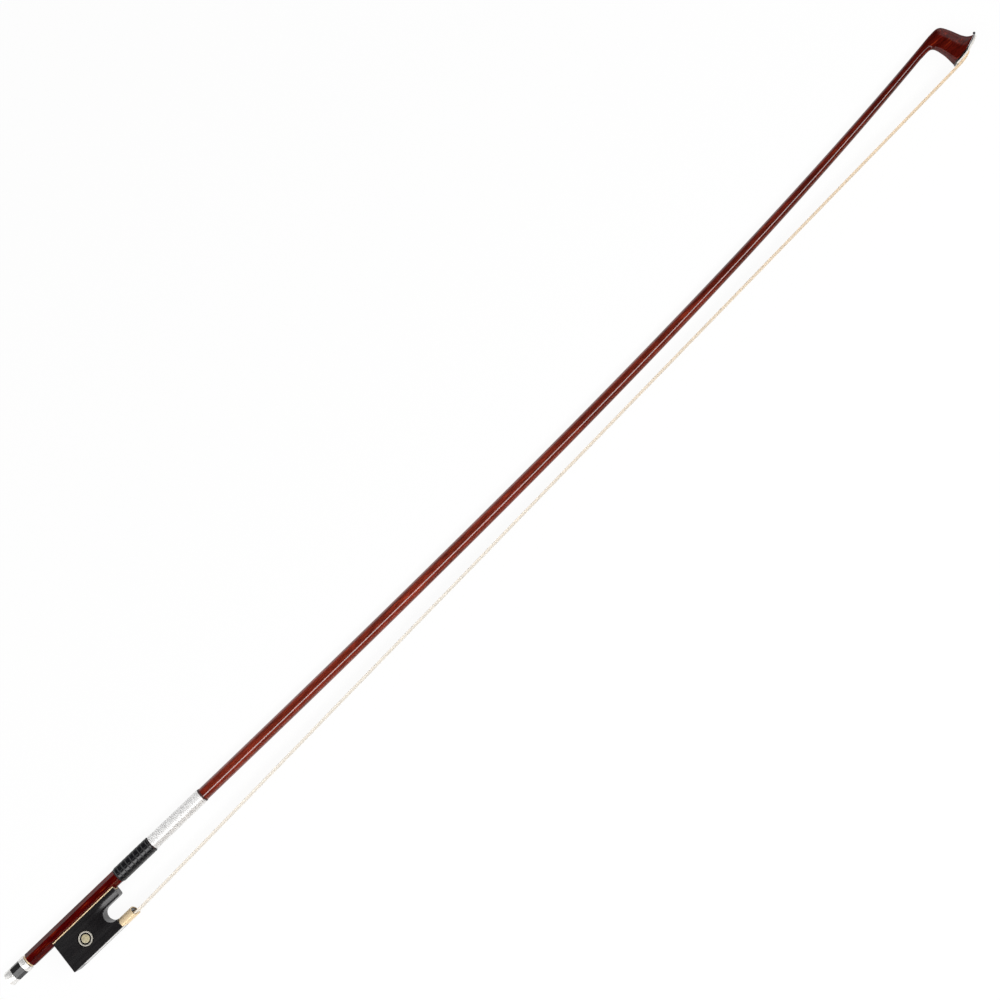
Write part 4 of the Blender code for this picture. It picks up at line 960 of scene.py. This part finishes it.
class BOW_OT_make_hair(Operator):
    """Makes the ribbon from single hairs that run from the ferrule up into the head"""
    bl_idname = "bow.make_hair"
    bl_label = "Make the hair"

    def execute(self, context):
        def make(tree, given):
            lines = add(tree, "GeometryNodeMeshToCurve", {"Mesh": given["Geometry"]})[0]
            return tube(tree, lines, given["Diameter"], 4)

        stations = hair_stations()
        ribbon = loose(self.strands(stations), "horsehair_ribbon")
        grow(ribbon, "strands", "horsehair", {"Diameter": settings().hair.diameter}, make)
        heart = self.heart(stations)
        heart.from_mesh(ribbon.data)
        heart.to_mesh(ribbon.data)
        heart.free()
        settle(ribbon, None, ("hair_ribbon",))
        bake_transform(ribbon)
        self.knot("head_knot_bound", "head_hair_knot", "stick", 1)
        self.knot("frog_knot_bound", "frog_hair_knot", "frog", 0)
        return {"FINISHED"}

    def strands(self, stations):
        """One chain of edges for each hair."""
        sizes = settings().hair
        bm = bmesh.new()
        for hair in range(sizes.strands):
            across = (hair + 0.5 + 0.4 * waver(hair * 1.618, sizes.seed, 0.0)) / sizes.strands * 2 - 1
            depth = (hair * 0.754878 + 0.31) % 1.0
            previous = None
            for place, up, inner in stations:
                drift = waver(place.x * 9, hair * 0.37, sizes.seed) * sizes.stray
                rise = waver(place.x * 7, hair * 0.53, 5.0) * sizes.stray * 0.5
                lift = RIBBON_OUTER + (inner - RIBBON_OUTER) * depth
                side = across * hair_width(place.x) / 2 + drift
                vert = bm.verts.new(place + up * (lift + rise) + Vector((0, 0, side)))
                if previous:
                    bm.edges.new((previous, vert))
                previous = vert
        return bm

    def heart(self, stations):
        """A solid core just inside the hairs, which lets no light through the ribbon."""
        rings = []
        for place, up, inner in stations:
            half = hair_width(place.x) / 2 - 0.00004
            rings.append([place + up * (lift * 0.80) + Vector((0, 0, side * half)) for lift, side in (
                (RIBBON_OUTER, -1), (RIBBON_OUTER, 1), (inner, 1), (inner, -1))])
        bm = bmesh.new()
        skin(bm, rings)
        bmesh.ops.recalc_face_normals(bm, faces=bm.faces)
        return bm

    def knot(self, name, node, body, axis):
        """A hair end bound with thread: the knot's shape, drawn in between close turns along an axis."""
        lowest, highest = BOXES[node]
        middle = (lowest + highest) / 2
        pitch, cut = 0.00045, 0.00045 / 4
        along = Vector([float(i == axis) for i in range(3)])

        def bind(bm):
            for k in range(1, int((highest[axis] - lowest[axis]) / cut)):
                slice_mesh(bm, lowest + along * (cut * k), along)
            for vert in bm.verts:
                turn = 0.5 - 0.5 * cos(2 * pi * (vert.co[axis] - lowest[axis]) / pitch)
                for i in range(3):
                    if i != axis:
                        vert.co[i] -= copysign(0.00010 * (1 - turn) + 0.00002, vert.co[i] - middle[i])

        copy_of(node, name, "horsehair", body, shape=bind)


# Frog and small pieces

def copy_of(node, name, slot_name, body, smooth=25.0, material=None, shape=None):
    """A welded copy of a CAD node's mesh, with its flat faces rejoined and then reshaped."""
    bm = bmesh.new()
    bm.from_mesh(FRAME["nodes"][node].data)
    bmesh.ops.remove_doubles(bm, verts=bm.verts, dist=0.000002)
    bmesh.ops.dissolve_limit(bm, angle_limit=radians(1.0), verts=bm.verts, edges=bm.edges)
    if shape:
        shape(bm)
    return put(bm, name, slot_name, body, (node,), smooth=smooth, material=material)


def cheek_half(y):
    """The frog's half width at a height."""
    lowest, highest = BOXES["frog"]
    return (highest.z - lowest.z) / 2 - tan(CHEEK_LEAN) * (y - lowest.y)


def relieve_cheeks(bm):
    """Lays a grid over the frog's front and hollows both cheeks beside the throat."""
    front, back = high("frog").x, high("frog").x - 0.024
    top, throat, cuts = AXIS.y - 0.0043, 0.0044, 26
    for k in range(cuts):
        slice_mesh(bm, (back + (front - back) * k / cuts, 0, 0), (1, 0, 0))
    for k in range(cuts):
        slice_mesh(bm, (0, top - 0.0005 * k, 0), (0, 1, 0))
    for vert in bm.verts:
        if vert.co.x < back:
            continue
        offset, below = vert.co.z - AXIS.z, top - vert.co.y
        share = min(1.0, abs(offset) / cheek_half(vert.co.y)) ** 2
        fade = ease((vert.co.x - back) / 0.017)
        depth = min(max(below, 0.0), throat) / throat
        dip = 0.00065 * (1 - cos(pi * depth)) * (1 - ease((below - throat) / 0.0080))
        vert.co.z -= copysign(dip * fade * share, offset)


class BOW_OT_make_frog(Operator):
    """Makes the frog with its hollowed cheeks, and the lips of its lining"""
    bl_idname = "bow.make_frog"
    bl_label = "Make the frog"

    def execute(self, context):
        block = copy_of("frog", "frog_block", "ebony", "frog", shape=relieve_cheeks, smooth=20.0)
        for face in block.data.polygons:
            if face.area > 0.000004 or abs(face.normal.z) > 0.9931:
                face.use_smooth = False
        lowest, highest = BOXES["underslide"]
        lip = 0.00028
        for side, name in ((-1, "left"), (1, "right")):
            middle = Vector(((lowest.x + highest.x) / 2, highest.y - 0.00034,
                             AXIS.z + side * ((highest.z - lowest.z) / 2 - lip)))
            put(rod(middle, lip, highest.x - lowest.x - 0.0002, 16), f"underslide_lip_{name}", "gilt", "frog")
        return {"FINISHED"}


def turned(name, node, slot_name, profile, material=None, segments=72):
    """A closed ring of (radius, height) points turned about a cheek's own axis at the node's middle."""
    middle = (low(node) + high(node)) / 2
    side = 1 if middle.z > AXIS.z else -1
    middle.z = AXIS.z + side * cheek_half(middle.y)
    out = Vector((0, sin(CHEEK_LEAN), side * cos(CHEEK_LEAN)))
    first = Vector((1, 0, 0))
    second = out.cross(first)
    bm = bmesh.new()
    rings = []
    for r, height in profile:
        centre = middle + out * height
        if r == 0.0:
            rings.append([bm.verts.new(centre)] * segments)
        else:
            rings.append([bm.verts.new(centre + first * r * cos(turn) + second * r * sin(turn))
                          for turn in turns_of(segments)])
    join_rows(bm, rings, over=True)
    return put(bm, name, slot_name, "frog", (node,), smooth=35.0, material=material)


class BOW_OT_make_eyes(Operator):
    """Makes the silver rings and pearl dots let into the frog's cheeks"""
    bl_idname = "bow.make_eyes"
    bl_label = "Make the eyes"

    def execute(self, context):
        base, rim, inner, outer = -0.0006, -0.00004, 0.00328, 0.00412
        dot_edge, dot_top, dot_rim, dome = 0.00240, 0.00230, 0.00002, 0.00008
        middle, half = (inner + outer) / 2, (outer - inner) / 2
        ring = [(inner, base), (outer, base), (outer, rim)]
        ring += [(middle + half * cos(pi * k / 12), rim + 0.00018 * sin(pi * k / 12))
                 for k in range(1, 12)]
        ring.append((inner, rim))
        dot = [(0.0, base), (dot_edge, base), (dot_edge, dot_rim), (dot_top, dome)]
        dot += [(dot_top * (1 - k / 6), dome + dome * (1 - (1 - k / 6) ** 2)) for k in range(1, 7)]
        for side in ("right", "left"):
            turned(f"eye_ring_{side}_domed", f"eye_ring_{side}", "silver", ring, "dull_silver")
            turned(f"eye_dot_{side}", f"eye_pearl_{side}", "pearl", dot)
        return {"FINISHED"}


SMALL_PIECES = (
    # node, slot, material, body, edge rounding, segments of the rounding
    ("button_core", "ebony", "ebony", "screw", 0.00012, 2),
    ("button_ring_front", "silver", "silver", "screw", 0.00012, 2),
    ("button_ring_rear", "silver", "silver", "screw", 0.00014, 2),
    ("nipple_collar", "gilt", "gilt", "stick", 0.00008, 2),
    ("underslide", "gilt", "gilt", "frog", 0.00010, 2),
    ("ferrule", "gilt", "gilt", "frog", 0.00006, 2),
    ("pearl_slide", "pearl", "slide_pearl", "frog", 0.00008, 1),
)


class BOW_OT_make_small_pieces(Operator):
    """Softens the edges of the button, the collar, the lining, the ferrule and the slide"""
    bl_idname = "bow.make_small_pieces"
    bl_label = "Make the small pieces"

    def execute(self, context):
        button_turn = (Matrix.Translation(AXIS) @ Matrix.Rotation(radians(5), 4, "X")
                       @ Matrix.Translation(-AXIS))
        for node, slot_name, material, body, width, segments in SMALL_PIECES:
            piece = copy_of(node, f"{node}_soft", slot_name, body, material=material)
            if body == "screw":
                piece.data.transform(button_turn)
            soften(piece, width, segments)
        return {"FINISHED"}


class BOW_OT_finish_nodes(Operator):
    """Gives each solid that stays in view its own finish"""
    bl_idname = "bow.finish_nodes"
    bl_label = "Finish the other pieces"

    def execute(self, context):
        for node, obj in FRAME["nodes"].items():
            if obj.hide_render:
                continue
            for slot in obj.material_slots:
                slot.material = finish(SLOTS[node])
        return {"FINISHED"}


# Studio

def ring_of_light(tree, share, stops):
    """Brightness by angle about X, from -180 to 180 degrees, 0 straight up and positive to the hair."""
    return ramp(tree, share, [(0.5 + bearing / 360, value) for bearing, value in stops])


def studio_colour(tree):
    """The room's light by direction: dark overhead, pale low down and past both ends of the bow."""
    parts = split(tree, add(tree, "TexCoord")["Generated"])
    angle = maths(tree, "ARCTAN2", maths(tree, "MULTIPLY", parts["Y"], -1.0), parts["Z"])
    share = maths(tree, "ADD", maths(tree, "DIVIDE", angle, 2 * pi), 0.5)
    middle = ring_of_light(tree, share, (
        (-98, 0.60), (-88, 0.36), (-74, 0.12), (-60, 0.03), (-50, 0.010), (60, 0.010), (78, 0.05), (88, 0.25),
        (98, 0.8)))
    ends = ring_of_light(tree, share, (
        (-52, 1.0), (-44, 0.62), (-36, 0.62), (-28, 1.0), (46, 1.0), (54, 0.30), (66, 0.22),
        (76, (0.74, 0.60, 0.47)), (90, (0.95, 0.84, 0.72))))
    front = spread(tree, parts["X"], 0.0, 1.0, 0.52, 0.66)
    rear = spread(tree, parts["X"], 0.0, 1.0, -0.38, -0.50)
    return mix(tree, maths(tree, "MAXIMUM", front, rear), middle, vectors(tree, "MULTIPLY", ends, (1.6,) * 3))


class BOW_OT_make_stage(Operator):
    """Makes the floor, the soft light and the camera"""
    bl_idname = "bow.make_stage"
    bl_label = "Make the stage"

    def execute(self, context):
        studio = settings().studio
        scene = context.scene
        scene.view_settings.view_transform = "Standard"
        bm = bmesh.new()
        bmesh.ops.create_grid(bm, x_segments=1, y_segments=1, size=6.0)
        ground = loose(bm, "floor")
        ground.data.transform(Matrix.Translation((0, 0, -0.0001)))
        ground.data.materials.append(pale_floor("bow_floor"))
        world = scene.world = bpy.data.worlds.new("studio")
        world.use_nodes = True
        tree = world.node_tree
        room = vectors(tree, "MULTIPLY", studio_colour(tree), (studio.fill,) * 3)
        direct, _ = light_paths(tree)
        fill(tree, tree.nodes["Background"], {"Color": mix(tree, direct, room, 1.0)})
        self.lamp(studio.key, studio.key_angle, 1.1, (2.4, 0.60))
        self.camera(studio)
        return {"FINISHED"}

    def lamp(self, power, angle, distance, size):
        lamp = bpy.data.lights.new("key_lamp", "AREA")
        lamp.shape = "RECTANGLE"
        lamp.size, lamp.size_y = size
        lamp.energy = power
        obj = show("key_lamp", lamp)
        obj.location = (0.03, -sin(angle) * distance, cos(angle) * distance)
        obj.rotation_euler = (-angle, 0, 0)
        obj.visible_camera = False

    def camera(self, studio):
        data = bpy.data.cameras.new("camera")
        data.sensor_width = 36.0
        data.lens = 36.0 * studio.distance / studio.field
        data.clip_start, data.clip_end = 0.05, 20.0
        camera = show("camera", data)
        aim = AXIS + Vector((0.00515, 0.00429, 0))
        back = Vector((0, -sin(studio.tilt), cos(studio.tilt)))
        up_bow = Vector((0, cos(studio.tilt), sin(studio.tilt)))
        along = Vector((1, 0, 0))
        right = along * cos(studio.turn) - up_bow * sin(studio.turn)
        up = along * sin(studio.turn) + up_bow * cos(studio.turn)
        camera.matrix_world = Matrix.Translation(aim + back * studio.distance) @ Matrix(
            (right, up, back)).transposed().to_4x4()
        bpy.context.scene.camera = camera


class BOW_PT_pieces(Panel):
    """Lists the bow's pieces and sizes"""
    bl_idname = "BOW_PT_pieces"
    bl_label = "Violin bow"
    bl_space_type = "VIEW_3D"
    bl_region_type = "UI"
    bl_category = "Bow"

    def draw(self, context):
        column = self.layout.column(align=True)
        for operator in MAKERS:
            column.operator(operator.bl_idname)
        for group in ("stick", "head", "grip", "hair", "finish", "studio"):
            values = getattr(context.scene.bow, group)
            rows = self.layout.box()
            rows.label(text=group.capitalize())
            for key in values.__annotations__:
                rows.prop(values, key)


MAKERS = (BOW_OT_make_stage, BOW_OT_make_stick, BOW_OT_make_facings, BOW_OT_make_grip, BOW_OT_make_winding,
          BOW_OT_make_hair, BOW_OT_make_frog, BOW_OT_make_eyes, BOW_OT_make_small_pieces, BOW_OT_finish_nodes)
CLASSES = (BowStickSettings, BowHeadSettings, BowGripSettings, BowHairSettings, BowFinishSettings,
           BowStudioSettings, BowSettings, *MAKERS, BOW_PT_pieces)


def register():
    for cls in CLASSES:
        bpy.utils.register_class(cls)
    bpy.types.Scene.bow = PointerProperty(type=BowSettings)


def unregister():
    del bpy.types.Scene.bow
    for cls in reversed(CLASSES):
        bpy.utils.unregister_class(cls)


def main():
    register()
    for maker in MAKERS:
        group, action = maker.bl_idname.split(".")
        result = getattr(getattr(bpy.ops, group), action)()
        if result != {"FINISHED"}:
            raise RuntimeError(f"{maker.bl_label} didn't finish")


if __name__ == "__main__":
    main()
